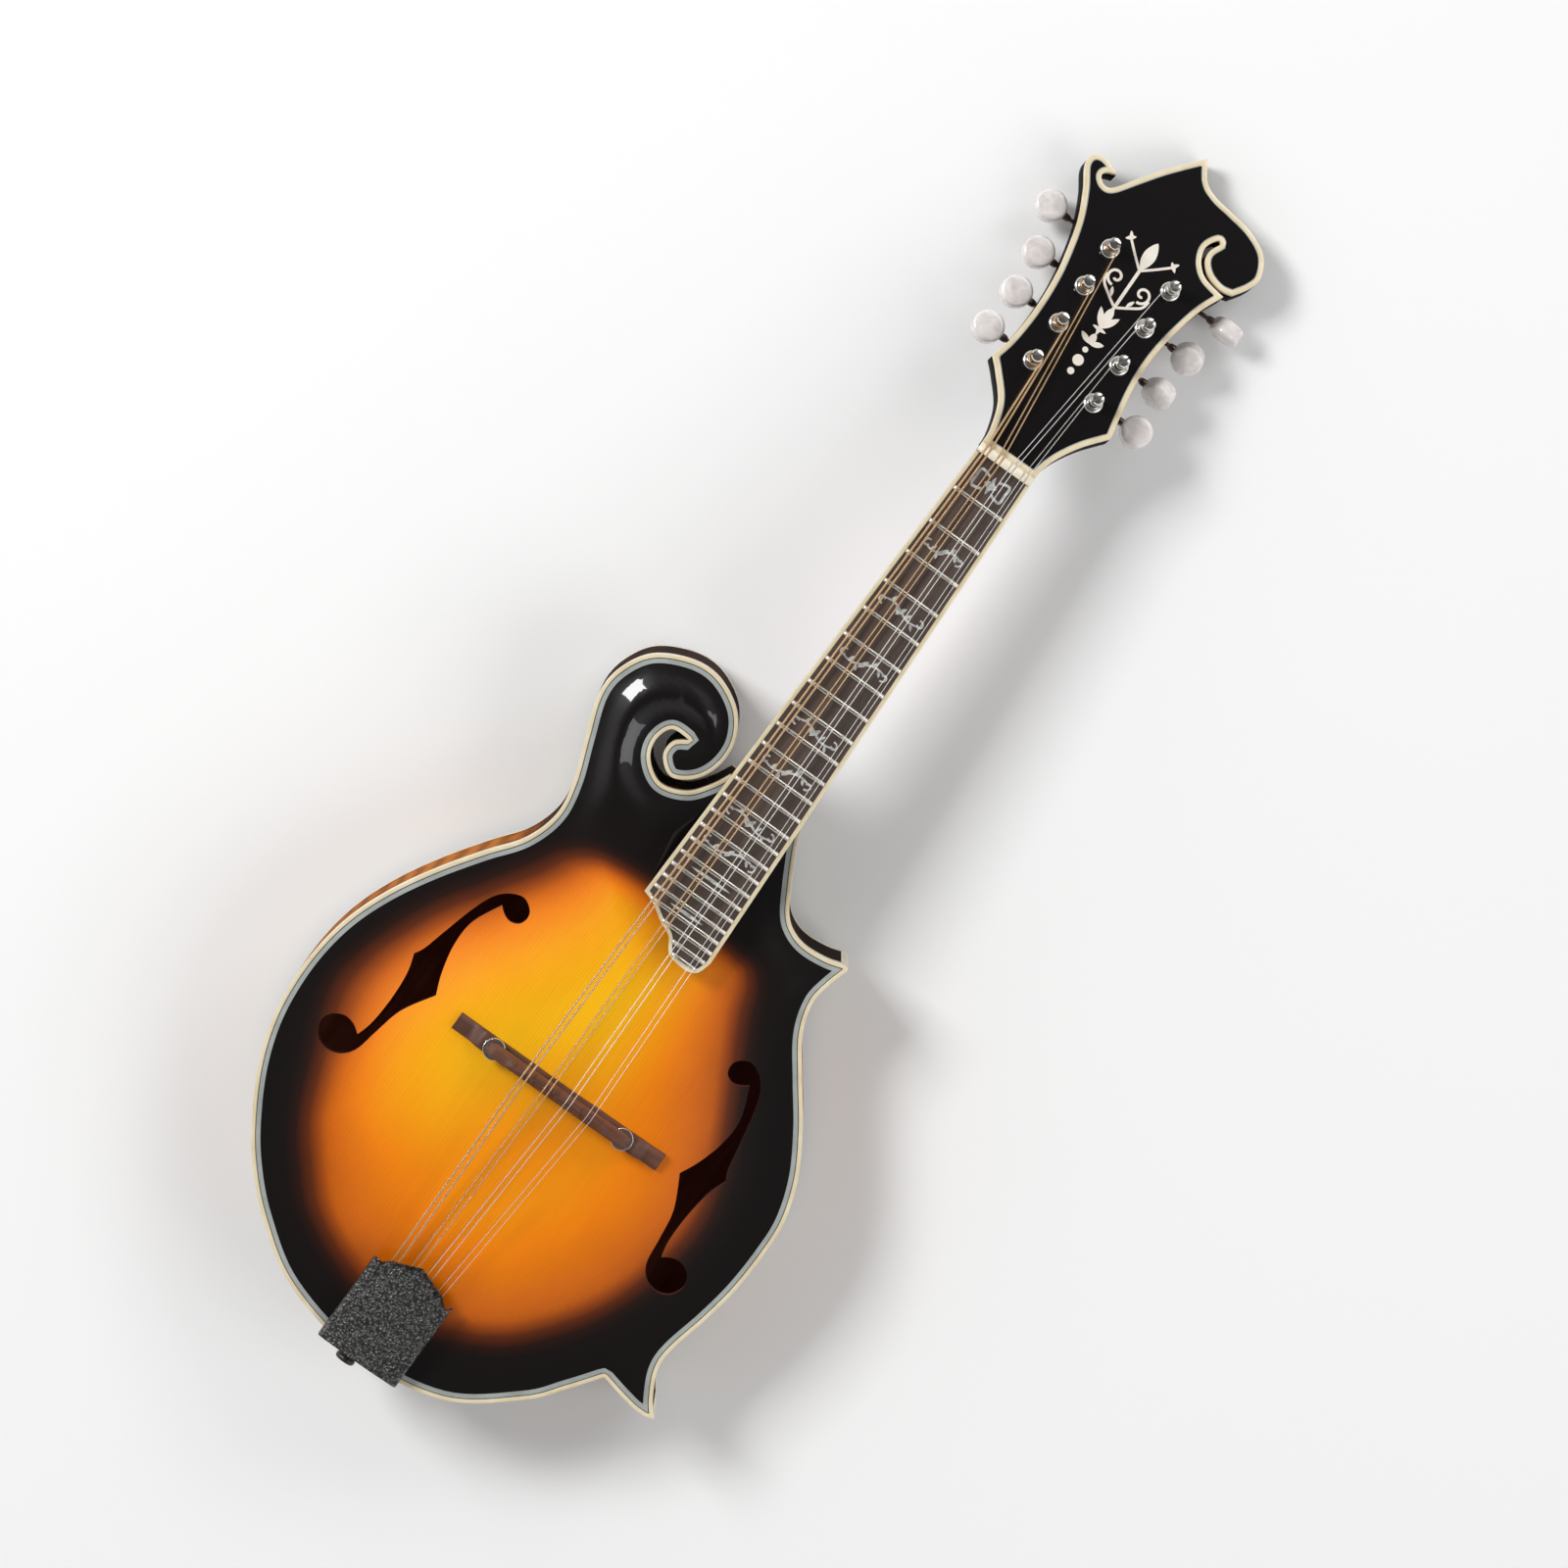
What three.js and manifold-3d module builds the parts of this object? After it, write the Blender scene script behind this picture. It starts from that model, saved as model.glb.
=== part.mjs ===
// Scroll-body mandolin, lying on its back. Millimetres.
// +Y runs along the neck to the headstock, +X to the treble side, +Z out of the soundboard.
// The origin is on the crown of the back, on the neck's centreline, straight below the saddle.

import * as THREE from 'three';
import { mergeVertices } from 'three/addons/utils/BufferGeometryUtils.js';
import Module from 'manifold-3d';

const wasm = await Module();
wasm.setup();

// ---- driving dimensions ----------------------------------------------------------------------

const SCALE_LENGTH = 352.4;
const BACK_EDGE_Z = 10;
const TOP_EDGE_Z = 60;
const PLATE_THICKNESS = 4;
const TOP_ARCH = 12;
const BACK_ARCH = 10.4;
const ARCH_RISE_WIDTH = 62;
const ARCH_DOME_RADIUS = 170;
const GLUE_GAP = 0.2;
const FACET_CLEARANCE = 0.8;
const RUNNING_GAP = 0.3;

const BEYOND = 200;

const BINDING_WIDTH = 2;
const BINDING_HEIGHT = 6;
const RIM_THICKNESS = 3;
const CAP_RADIUS = 4.5;
const LINING_WIDTH = 6;
const LINING_HEIGHT = 7.5;
const HEAD_BLOCK_Y = 116;
const TAIL_BLOCK_Y = -138;
const TAIL_BLOCK_HALF = 40;
const BODY_CENTRE = [-4, -15];
const TONE_BAR_X = { bass: -36, treble: 32 };
const TONE_BAR_Y = [-104, 76];
const TONE_BAR_HALF_WIDTH = 3;
const TONE_BAR_END_DEPTH = 3;
const TONE_BAR_EXTRA_DEPTH = 9;
const DOVETAIL_Y = 150;
const DOVETAIL_BOTTOM_Z = 24;
const DOVETAIL_HALF = { wide: 10, narrow: 7 };

const NECK_END_Y = 164.6;
const NECK_SLOPE = THREE.MathUtils.degToRad(3.4);
const NUT_HALF_WIDTH = 14.9;
const BOARD_FLARE = 0.0277;
const BOARD_TOP_AT_NUT = 62.7;
const BOARD_THICKNESS = 5;
const BOARD_BINDING = 1.9;
const NUT_DEPTH = 5;
const NUT_BOTTOM_Z = 57.6;
const NUT_TOP_Z = 63.1;
const HEEL_Z = 12;
const NECK_DEPTH_AT_NUT = 14.4;
const NECK_DEPTH_GROWTH = 0.015;
const HEEL_SWEEP_Y = 206;
const HEEL_SWEEP_POWER = 2.4;
const HEAD_THINNING = 5;
const TONGUE_END_Y = 102;
const TONGUE_HALF_WIDTH = 17;
const BAR_Y = [172, 346];
const BAR_HALF_WIDTH = 2.5;
const BAR_DEPTH = 9;
const CROWN_OF_NECK = 0.1;

const HEAD_PITCH = THREE.MathUtils.degToRad(16.5);
const HEAD_START_Y = SCALE_LENGTH + NUT_DEPTH;
const HEAD_START_Z = 62.4;
const HEAD_THICKNESS = 13.9;
const HEAD_BINDING_WIDTH = 2.3;
const HEAD_BINDING_HEIGHT = 3;
const OVERLAY_THICKNESS = 1.5;

const STRING_AT_SADDLE_Z = 88.5;
const STRING_AT_NUT_Z = 64;
const STRING_CLEARANCE = 0.3;

const POST_X = 17;
const FIRST_POST_Y = 44.7;
const POST_SPACING = 21.6;
const POST_RADIUS = 3;
const POST_RISE = 12;
const STRING_ON_POST = 7;
const GEAR_TEETH = 14;
const GEAR_RADIUS = 3.8;
const GEAR_ROOT = 3.2;
const GEAR_THICKNESS = 3;
const WORM_RADIUS = 1.4;
const WORM_OFFSET = 5.4;
const WORM_X = [13.2, 21.6];
const SHAFT_RADIUS = 1.1;
const SHAFT_START_X = 11;
const COLLAR_RADIUS = 2;
const COLLAR_LENGTH = 2.6;
const SHAFT_IN_KNOB = 1.5;
const WORM_DEPTH = HEAD_THICKNESS + 3.2;
const TUNER_PLATE = 1;
const TUNER_PLATE_X = [10.4, 24.6];
const TUNER_PLATE_ENDS = [9, 13];
const EAR_X = [[11.6, 12.8], [22.2, 23.4]];
const EAR_HALF_LENGTH = 2;
const EAR_DROP = 2.2;
const KNOB_RADIUS = 7.75;
const KNOB_HALF_THICKNESS = 4.2;
const KNOB_X = [42, 40.5, 42.5, 50];
const KEY_TURNS = { bass: [0, 0, 0, 0], treble: [0, 65, 45, 90] };

const BASE_HALF_LENGTH = 57.5;
const BASE_WIDTH = 9;
const BASE_TOP_Z = 76.5;
const BASE_SHOULDER_X = [43, 48];
const BASE_END_HEIGHT = 3;
const FEET_INNER_X = 16;
const FEET_HEIGHT = 1.8;
const SADDLE_HALF_LENGTH = 38;
const SADDLE_WIDTH = 7;
const SADDLE_BOTTOM_Z = 80.5;
const SADDLE_TOP_Z = 88;
const SADDLE_STEP_X = [24, 30];
const SADDLE_STEP = 1;
const SADDLE_END_BULGE = 3;
const BRIDGE_POST_X = 36;
const BRIDGE_POST_RADIUS = 1.9;
const BRIDGE_POST_Z = [73.9, 83.9];
const SADDLE_BORE_TOP_Z = 85.7;
const WHEEL_RADIUS = 5.4;
const WHEEL_Z = [78.2, 80.2];

const TAILPIECE_Y = -146;
const TAILPIECE_Z = 67.5;
const TAILPIECE_TILT = Math.atan2(STRING_AT_SADDLE_Z - TAILPIECE_Z, -TAILPIECE_Y);
const TAIL_END_Y = -158.5;
const BASE_PLATE_Z = -5.2;
const COVER_X = [-25.5, 18.5];
const COVER_REAR_Y = -12.4;
const COVER_FRONT_Y = 43.5;
const COVER_Z = 2;
const COVER_SHEET = 1;
const COVER_SIDE_END_Y = 30;
const BASE_PLATE_Y = [-14.4, 26];
const HOOK_BAR_Y = [-7, -3.4];
const HOOK_Y = [-5, -3.6];
const HOOK_HALF_WIDTH = 0.7;
const HOOK_TOP_Z = 1.6;
const FLANGE_HALF_WIDTH = 12;
const FLANGE_Z = [26, 61];
const PIN_X = -7;
const PIN_Z = 38;
const PIN_RADIUS = 2.6;
const PIN_END_Y = -146;
const BUTTON_RADIUS = 5;
const BUTTON_FACE_Y = -168;

// String courses from bass to treble: x of the pair's centre at tailpiece, saddle and nut.
const COURSES = [
  { name: 'g', tail: -15, saddle: -17.5, nut: -10.5, radius: 0.5 },
  { name: 'd', tail: -7.5, saddle: -5.8, nut: -3.5, radius: 0.33 },
  { name: 'a', tail: -0.5, saddle: 5.8, nut: 3.5, radius: 0.19 },
  { name: 'e', tail: 7, saddle: 17.5, nut: 10.5, radius: 0.14 },
];
const PAIR_HALF_GAP = { tail: 1.6, saddle: 1.3, nut: 1.1 };

// ---- outlines ----------------------------------------------------------------------------------

// Each outline is a closed loop of runs. A run is one smooth curve through its points, and two runs meet at a
// sharp corner.

const BODY_RUNS = [
  // from the neck's bass side round the lower wall of the scroll's slot, up to its blind end
  [[-20, 164.6], [-24.6, 155.7], [-32.1, 146.8], [-44, 143], [-54, 149], [-57.3, 157.9], [-54, 166.4],
    [-44.5, 166.8]],
  // round the scroll's eye, over the scroll, down the bass side and along the tail to the lower point
  [[-44.5, 166.8], [-50.4, 162], [-50.4, 154], [-42, 148.1], [-32, 153.9], [-26.5, 165], [-27, 178.6],
    [-35, 191],
    [-50, 198.6], [-65, 198], [-81.5, 189.5], [-90, 175], [-91, 160], [-84.3, 140], [-77.1, 120], [-74.7,
      103],
    [-80, 86], [-92, 70], [-105.7, 50], [-117, 30], [-125, 10], [-129, -10], [-129.6, -30], [-127.2, -50],
    [-121, -70], [-111, -90], [-97.5, -110], [-77.5, -130], [-48, -149], [-4, -158.5], [40, -152], [71,
      -130],
    [84.1, -114.5], [95.3, -99.5]],
  [[95.3, -99.5], [105, -101.8], [115, -103.6], [121.5, -103.6], [125.6, -102.2]],
  [[125.6, -102.2], [119.8, -95], [113.6, -82], [113.6, -70], [118.2, -50], [121.5, -30], [122.5, -8],
    [121.1, 10],
    [114.3, 30], [102.5, 50], [90, 67.1], [77.5, 85], [72.6, 100], [74, 111.7], [77, 121.8]],
  [[77, 121.8], [74.5, 123.2], [66, 120.9], [55, 120], [46.7, 122.1], [40, 127.3], [32.9, 139], [25, 154],
    [20.6, 164.6]],
  [[20.6, 164.6], [15, 164.6], [-15, 164.6], [-20, 164.6]],
];

const BASS_F_HOLE_RUNS = [
  [[-70.9, 54.4], [-67.7, 51.8], [-63.6, 50.6], [-59.5, 52.3], [-57.9, 56.4], [-59.5, 60.5], [-65, 63.2],
    [-72, 60.3], [-77.3, 54.1], [-81.4, 43.6], [-85.5, 29.1], [-88.6, 17.7], [-91.2, 12.7]],
  [[-91.2, 12.7], [-88.6, 3.6], [-87.7, -10], [-88.6, -24.5], [-90.9, -33.2]],
  [[-90.9, -33.2], [-95.5, -30.3], [-101, -29.8], [-106.3, -33], [-108.3, -38.5], [-105.7, -44.7],
    [-99.5, -47.5],
    [-92.3, -45.5], [-87.2, -39], [-84.5, -26.4], [-80.8, -12], [-71.8, 3.2]],
  [[-71.8, 3.2], [-75.5, 12.7], [-78.4, 26.4], [-77.7, 40], [-70.9, 54.4]],
];
// The treble hole is the bass one mirrored and turned a little about its inner nick.
const F_HOLE_MIRROR = -4;
const F_HOLE_DROP = 2.5;
const TREBLE_NICK = [67.8, 0.7];
const TREBLE_TURN = THREE.MathUtils.degToRad(-4.7);

// The smooth loop that the arching rises from, clear of the scroll and the points.
const ARCH_LOOP = [
  [0, 130], [-38, 126], [-63, 112], [-71, 90], [-86, 66], [-103, 40], [-114, 15], [-120, -15], [-118, -48],
  [-107, -80], [-88, -108], [-58, -134], [-4, -151], [50, -134], [80, -108], [99, -80], [110, -48], [113,
    -15],
  [107, 15], [96, 40], [81, 66], [67, 90], [60, 112], [36, 126],
];
const ARCH_CENTRE = [-3.5, -15];

// The headstock's outline, in its own plane, with y counted from the nut.
const HEAD_RUNS = [
  [[-14.7, 0], [-15.2, 7.5], [-19.4, 20], [-28.1, 30.6], [-33.5, 36]],
  [[-33.5, 36], [-30.9, 47.5], [-29.7, 65], [-30.5, 82.5], [-33, 97.5], [-36.9, 112.5], [-42.9, 126],
    [-48.6, 135.6],
    [-48.4, 141.3], [-44.4, 143.8], [-38.9, 143], [-34, 140.6]],
  [[-34, 140.6], [-38.5, 138.5], [-39.4, 135.6], [-36, 133], [-31.9, 134.4], [-25, 144.4], [-16.3, 156.9],
    [-3.5, 172.5]],
  [[-3.5, 172.5], [2.5, 163.1], [10, 159.4], [20, 157.9], [32.5, 155.6], [43.1, 150], [48.1, 140.6],
    [46.8, 133.5],
    [41.9, 125.6]],
  [[41.9, 125.6], [36.5, 124.3], [31.3, 125], [26.3, 127.3], [22.4, 131.6], [21.6, 136.5], [24, 142.3]],
  [[24, 142.3], [22.2, 143.2], [19.4, 138.5], [19.4, 133.8], [22.4, 128.3], [28, 124.4], [38.8, 122.4]],
  [[38.8, 122.4], [34.4, 112.5], [31.3, 101.3], [28.6, 86], [27.8, 72.5], [29, 57.5], [33.1, 36]],
  [[33.1, 36], [24.4, 25], [18.1, 13.8], [15.2, 5], [14.7, 0]],
  [[14.7, 0], [10, 0], [-10, 0], [-14.7, 0]],
];

// The scalloped body end of the fretboard, x and distance from the nut's front edge.
const BOARD_END_RUN = [
  [-21.9, 253], [-16, 255], [-8, 260], [-1, 263.5], [4, 270], [13, 272], [19.5, 270], [22.2, 263],
];

function point([x, y]) {
  return new THREE.Vector2(x, y);
}

function smoothRun(run, steps) {
  return new THREE.SplineCurve(run.map(point)).getPoints((run.length - 1) * steps);
}

// The loop's points, anticlockwise.
function closedOutline(runs, steps) {
  const outline = runs.flatMap((run) => smoothRun(run, steps).slice(0, -1));
  return THREE.ShapeUtils.isClockWise(outline) ? outline.reverse() : outline;
}

function distanceToLoop(loop, x, y) {
  const nearest = new THREE.Vector3();
  const place = new THREE.Vector3(x, y, 0);
  const edge = new THREE.Line3();
  let best = Infinity;
  loop.forEach((start, i) => {
    const end = loop[(i + 1) % loop.length];
    edge.start.set(start.x, start.y, 0);
    edge.end.set(end.x, end.y, 0);
    edge.closestPointToPoint(place, true, nearest);
    best = Math.min(best, nearest.distanceTo(place));
  });
  return best;
}

// The outline moved inwards, without the stretches that would fold over at its corners.
function insetOutline(outline, distance) {
  const moved = outline.map((here, i) => {
    const before = outline[(i + outline.length - 1) % outline.length];
    const after = outline[(i + 1) % outline.length];
    const along = after.clone().sub(before).normalize();
    return new THREE.Vector2(here.x - along.y * distance, here.y + along.x * distance);
  });
  return moved.filter((place) => distanceToLoop(outline, place.x, place.y) > distance * 0.97);
}

const bodyOutline = closedOutline(BODY_RUNS, 2);
const bassHole = closedOutline(BASS_F_HOLE_RUNS, 2);
const trebleHole = bassHole.map(({ x, y }) => new THREE.Vector2(F_HOLE_MIRROR - x, y - F_HOLE_DROP)
  .rotateAround(point(TREBLE_NICK), TREBLE_TURN)).reverse();
const headOutline = closedOutline(HEAD_RUNS, 2);
const archLoop = closedOutline([[...ARCH_LOOP, ARCH_LOOP[0]]], 3);

// ---- arching -------------------------------------------------------------------------------------

// 0 outside the arching and 1 at its crown.
function archShare(x, y) {
  if (!insideLoop(archLoop, x, y)) {
    return 0;
  }
  const rise = THREE.MathUtils.smoothstep(distanceToLoop(archLoop, x, y), 0, ARCH_RISE_WIDTH);
  const reach = Math.min(1, Math.hypot(x - ARCH_CENTRE[0], y - ARCH_CENTRE[1]) / ARCH_DOME_RADIUS);
  const dome = 0.5 * (1 + Math.cos(Math.PI * reach));
  return rise * (0.5 + 0.5 * dome);
}

function insideLoop(loop, x, y) {
  let inside = false;
  loop.forEach((a, i) => {
    const b = loop[(i + 1) % loop.length];
    if (a.y > y !== b.y > y && x < ((b.x - a.x) * (y - a.y)) / (b.y - a.y) + a.x) {
      inside = !inside;
    }
  });
  return inside;
}

function topZ(x, y) {
  return TOP_EDGE_Z + TOP_ARCH * archShare(x, y);
}

// The crown of the back is flat where it would pass below zero.
function backZ(x, y) {
  return Math.max(0, BACK_EDGE_Z - BACK_ARCH * archShare(x, y));
}

// ---- solids --------------------------------------------------------------------------------------

function toSolid(geometry) {
  const bare = geometry.index ? geometry.toNonIndexed() : geometry.clone();
  bare.deleteAttribute('normal');
  bare.deleteAttribute('uv');
  const merged = mergeVertices(bare, 1e-4);
  const corners = merged.index.array;
  const triangles = [];
  for (let i = 0; i < corners.length; i += 3) {
    const [a, b, c] = corners.slice(i, i + 3);
    if (a !== b && b !== c && c !== a) {
      triangles.push(a, b, c);
    }
  }
  return new wasm.Manifold(new wasm.Mesh({
    numProp: 3,
    vertProperties: new Float32Array(merged.attributes.position.array),
    triVerts: new Uint32Array(triangles),
  }));
}

function toGeometry(manifold) {
  const mesh = manifold.getMesh();
  const geometry = new THREE.BufferGeometry();
  geometry.setAttribute('position', new THREE.BufferAttribute(mesh.vertProperties, 3));
  geometry.setIndex(new THREE.BufferAttribute(mesh.triVerts, 1));
  return geometry;
}

function join(first, ...others) {
  return others.reduce((sum, next) => sum.add(next), first);
}

function cut(first, ...others) {
  return others.reduce((rest, next) => rest.subtract(next), first);
}

function prismGeometry(outline, low, high, hole = null) {
  const shape = new THREE.Shape(outline);
  if (hole) {
    shape.holes.push(new THREE.Path(hole));
  }
  const geometry = new THREE.ExtrudeGeometry(shape, { depth: high - low, bevelEnabled: false });
  return geometry.translate(0, 0, low);
}

function prism(outline, low, high) {
  return toSolid(prismGeometry(outline, low, high));
}

// A [y, z] outline drawn out along x.
function crossPrism(outline, x0, x1) {
  const geometry = prismGeometry(outline.map(point), x0, x1);
  return toSolid(geometry.applyMatrix4(new THREE.Matrix4().set(0, 0, 1, 0, 1, 0, 0, 0, 0, 1, 0, 0, 0, 0,
    0, 1)));
}

// A Shape in x and z drawn out along y, the same way to both sides of y = 0.
function lengthPrism(shape, width) {
  const geometry = new THREE.ExtrudeGeometry(shape, { depth: width, bevelEnabled: false,
    curveSegments: 4 });
  return toSolid(geometry.translate(0, 0, -width / 2).rotateX(Math.PI / 2));
}

function block(x0, x1, y0, y1, z0, z1) {
  const geometry = new THREE.BoxGeometry(x1 - x0, y1 - y0, z1 - z0);
  return toSolid(geometry.translate((x0 + x1) / 2, (y0 + y1) / 2, (z0 + z1) / 2));
}

// A cylinder along z.
function rod(x, y, radius, low, high, sides = 12) {
  const geometry = new THREE.CylinderGeometry(radius, radius, high - low, sides).rotateX(Math.PI / 2);
  return toSolid(geometry.translate(x, y, (low + high) / 2));
}

// A cylinder along x.
function crossRod(y, z, radius, x0, x1, sides = 8) {
  const geometry = new THREE.CylinderGeometry(radius, radius, x1 - x0, sides).rotateZ(Math.PI / 2);
  return toSolid(geometry.translate((x0 + x1) / 2, y, z));
}

// A slab over the whole body whose two faces follow the given heights.
function archedSlab(lowZ, highZ, cell) {
  const [width, length] = [276, 384];
  const [middleX, middleY] = [-3, 20];
  const geometry = new THREE.BoxGeometry(width, length, 2, Math.round(width / cell),
    Math.round(length / cell), 1);
  const places = geometry.attributes.position;
  for (let i = 0; i < places.count; i += 1) {
    const x = places.getX(i) + middleX;
    const y = places.getY(i) + middleY;
    places.setXYZ(i, x, y, places.getZ(i) > 0 ? highZ(x, y) : lowZ(x, y));
  }
  return toSolid(geometry);
}

// ---- the group and its materials -----------------------------------------------------------------

const mandolin = new THREE.Group();

function addFrame(y, z, turn) {
  const frame = new THREE.Group();
  frame.position.set(0, y, z);
  frame.rotation.x = turn;
  mandolin.add(frame);
  return frame;
}

const headFrame = addFrame(HEAD_START_Y, HEAD_START_Z, -HEAD_PITCH);
const boardFrame = addFrame(SCALE_LENGTH, BOARD_TOP_AT_NUT, -NECK_SLOPE);
const tailFrame = addFrame(TAILPIECE_Y, TAILPIECE_Z, TAILPIECE_TILT);

const FINISHES = {
  spruce: { color: 0xc9781e, roughness: 0.2, metalness: 0 },
  maple: { color: 0x6b2f12, roughness: 0.25, metalness: 0 },
  bareWood: { color: 0xcaa472, roughness: 0.7, metalness: 0 },
  ebony: { color: 0x17100d, roughness: 0.4, metalness: 0 },
  rosewood: { color: 0x2b1a12, roughness: 0.45, metalness: 0 },
  lacquer: { color: 0x0c0a09, roughness: 0.12, metalness: 0 },
  celluloid: { color: 0xe9dcb6, roughness: 0.35, metalness: 0 },
  bone: { color: 0xefe6d2, roughness: 0.4, metalness: 0 },
  nickel: { color: 0xc8c5bf, roughness: 0.18, metalness: 1 },
  darkSteel: { color: 0x4a4642, roughness: 0.35, metalness: 1 },
  blackMetal: { color: 0x141414, roughness: 0.4, metalness: 0.6 },
  pearloid: { color: 0xeae4e0, roughness: 0.25, metalness: 0 },
  steelWire: { color: 0x9a9994, roughness: 0.3, metalness: 1 },
  bronzeWire: { color: 0xb07f45, roughness: 0.35, metalness: 1 },
};

function addPart(name, shape, finish, parent = mandolin) {
  const geometry = shape.isBufferGeometry ? shape : toGeometry(shape);
  const mesh = new THREE.Mesh(geometry, new THREE.MeshStandardMaterial(FINISHES[finish]));
  mesh.name = name;
  parent.add(mesh);
}

// ---- body ----------------------------------------------------------------------------------------

const BACK_GLUE_Z = BACK_EDGE_Z + PLATE_THICKNESS;
const TOP_GLUE_Z = TOP_EDGE_Z - PLATE_THICKNESS;
const bindingInner = insetOutline(bodyOutline, BINDING_WIDTH);
const plateOutline = insetOutline(bindingInner, GLUE_GAP);
const rimInner = insetOutline(bodyOutline, RIM_THICKNESS);
const blockOutline = insetOutline(rimInner, GLUE_GAP);

// The bore for the strap button's shank, through the rim into the tail block.
function pinBore() {
  const [y0, y1] = [PIN_END_Y - 23.5, PIN_END_Y + 0.5];
  const geometry = new THREE.CylinderGeometry(PIN_RADIUS + RUNNING_GAP, PIN_RADIUS + RUNNING_GAP,
    y1 - y0, 12);
  return toSolid(geometry.translate(PIN_X, (y0 + y1) / 2, PIN_Z));
}

// The dovetail that holds the neck in the head block; grow is the room round its socket.
function dovetail(grow) {
  const mouthY = NECK_END_Y + 2;
  const innerY = DOVETAIL_Y - grow;
  const wide = DOVETAIL_HALF.wide + grow;
  const narrow = DOVETAIL_HALF.narrow + grow;
  const outline = [[-wide, innerY], [wide, innerY], [narrow, mouthY], [-narrow, mouthY]];
  return prism(outline.map(point), DOVETAIL_BOTTOM_Z - grow, TOP_EDGE_Z - BINDING_HEIGHT - 1 + grow);
}

function makeSoundboard() {
  const slab = archedSlab((x, y) => topZ(x, y) - PLATE_THICKNESS, topZ, 20);
  return cut(slab.intersect(prism(plateOutline, 40, 90)), prism(bassHole, 40, 90), prism(trebleHole, 40,
    90));
}

function makeBackPlate() {
  const slab = archedSlab(backZ, (x, y) => backZ(x, y) + PLATE_THICKNESS, 25);
  return slab.intersect(prism(plateOutline, -10, 40));
}

const RIM_Z = [BACK_EDGE_Z + BINDING_HEIGHT + GLUE_GAP, TOP_EDGE_Z - BINDING_HEIGHT - GLUE_GAP];
const LOWER_POINT = BODY_RUNS[3][0];
const UPPER_POINT = BODY_RUNS[4][0];

// The whole wall round the body, before it is parted into ribs and caps.
function makeRim() {
  const [low, high] = RIM_Z;
  return cut(prism(bodyOutline, low, high), prism(rimInner, low - 1, high + 1), dovetail(RUNNING_GAP),
    pinBore());
}

// Where two ribs meet, seen from the middle of the body.
const JOINTS = {
  tail: [BODY_CENTRE[0], -BEYOND],
  lowerPoint: LOWER_POINT,
  upperPoint: UPPER_POINT,
  neck: [0, NECK_END_Y],
};

// A place well outside the body on the way from its middle through the given one.
function farBeyond(place) {
  const middle = point(BODY_CENTRE);
  return point(place).sub(middle).setLength(2 * BEYOND).add(middle);
}

// A thin cut from the middle of the body out through a joint between two ribs.
function sawCut(place) {
  const middle = point(BODY_CENTRE);
  const far = farBeyond(place);
  const along = far.clone().sub(middle).normalize();
  const side = new THREE.Vector2(-along.y, along.x).multiplyScalar(GLUE_GAP / 2);
  const outline = [middle.clone().sub(side), far.clone().sub(side), far.clone().add(side),
    middle.clone().add(side)];
  return prism(outline, 0, BEYOND);
}

function capRound([x, y], radius) {
  return rod(x, y, radius, 0, BEYOND, 24);
}

// One rib: the part of the wall between two joints, anticlockwise, by way of the given far corners.
function makeRib(wall, from, to, corners) {
  const outline = [point(BODY_CENTRE), farBeyond(from), ...corners.map(point), farBeyond(to)];
  const saws = Object.values(JOINTS).map(sawCut);
  const caps = [LOWER_POINT, UPPER_POINT].map((tip) => capRound(tip, CAP_RADIUS + GLUE_GAP));
  return cut(wall.intersect(prism(outline, 0, BEYOND)), ...saws, ...caps);
}

// A strip along the rim that a plate is glued to; side is -1 for bass and 1 for treble.
function makeLining(side, low, high) {
  const inner = insetOutline(bodyOutline, RIM_THICKNESS + LINING_WIDTH);
  const strip = cut(prism(blockOutline, low, high), prism(inner, low - 1, high + 1));
  const near = BODY_CENTRE[0] + side * (TAIL_BLOCK_HALF + GLUE_GAP);
  const far = BODY_CENTRE[0] + side * BEYOND;
  const [x0, x1] = [Math.min(near, far), Math.max(near, far)];
  return strip.intersect(block(x0, x1, -BEYOND, HEAD_BLOCK_Y - GLUE_GAP, low - 1, high + 1));
}

function makeHeadBlock() {
  const wood = prism(blockOutline, BACK_GLUE_Z + GLUE_GAP, TOP_GLUE_Z - GLUE_GAP);
  return cut(wood, block(-BEYOND, BEYOND, -BEYOND, HEAD_BLOCK_Y, 0, BEYOND), dovetail(RUNNING_GAP));
}

function makeTailBlock() {
  const wood = prism(blockOutline, BACK_GLUE_Z + GLUE_GAP, TOP_GLUE_Z - GLUE_GAP);
  const x0 = BODY_CENTRE[0] - TAIL_BLOCK_HALF;
  const x1 = BODY_CENTRE[0] + TAIL_BLOCK_HALF;
  return cut(wood.intersect(block(x0, x1, -BEYOND, TAIL_BLOCK_Y, 0, BEYOND)), pinBore());
}

// A bar under the soundboard, following its arch and thinning out to both ends.
function makeToneBar(x) {
  const [startY, endY] = TONE_BAR_Y;
  const steps = 10;
  const upper = [];
  const lower = [];
  for (let i = 0; i <= steps; i += 1) {
    const y = startY + ((endY - startY) * i) / steps;
    const z = topZ(x, y) - PLATE_THICKNESS - 1.5 * FACET_CLEARANCE;
    upper.unshift([y, z]);
    lower.push([y, z - TONE_BAR_END_DEPTH - TONE_BAR_EXTRA_DEPTH * Math.sin((Math.PI * i) / steps)]);
  }
  return crossPrism([...lower, ...upper], x - TONE_BAR_HALF_WIDTH, x + TONE_BAR_HALF_WIDTH);
}

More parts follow.
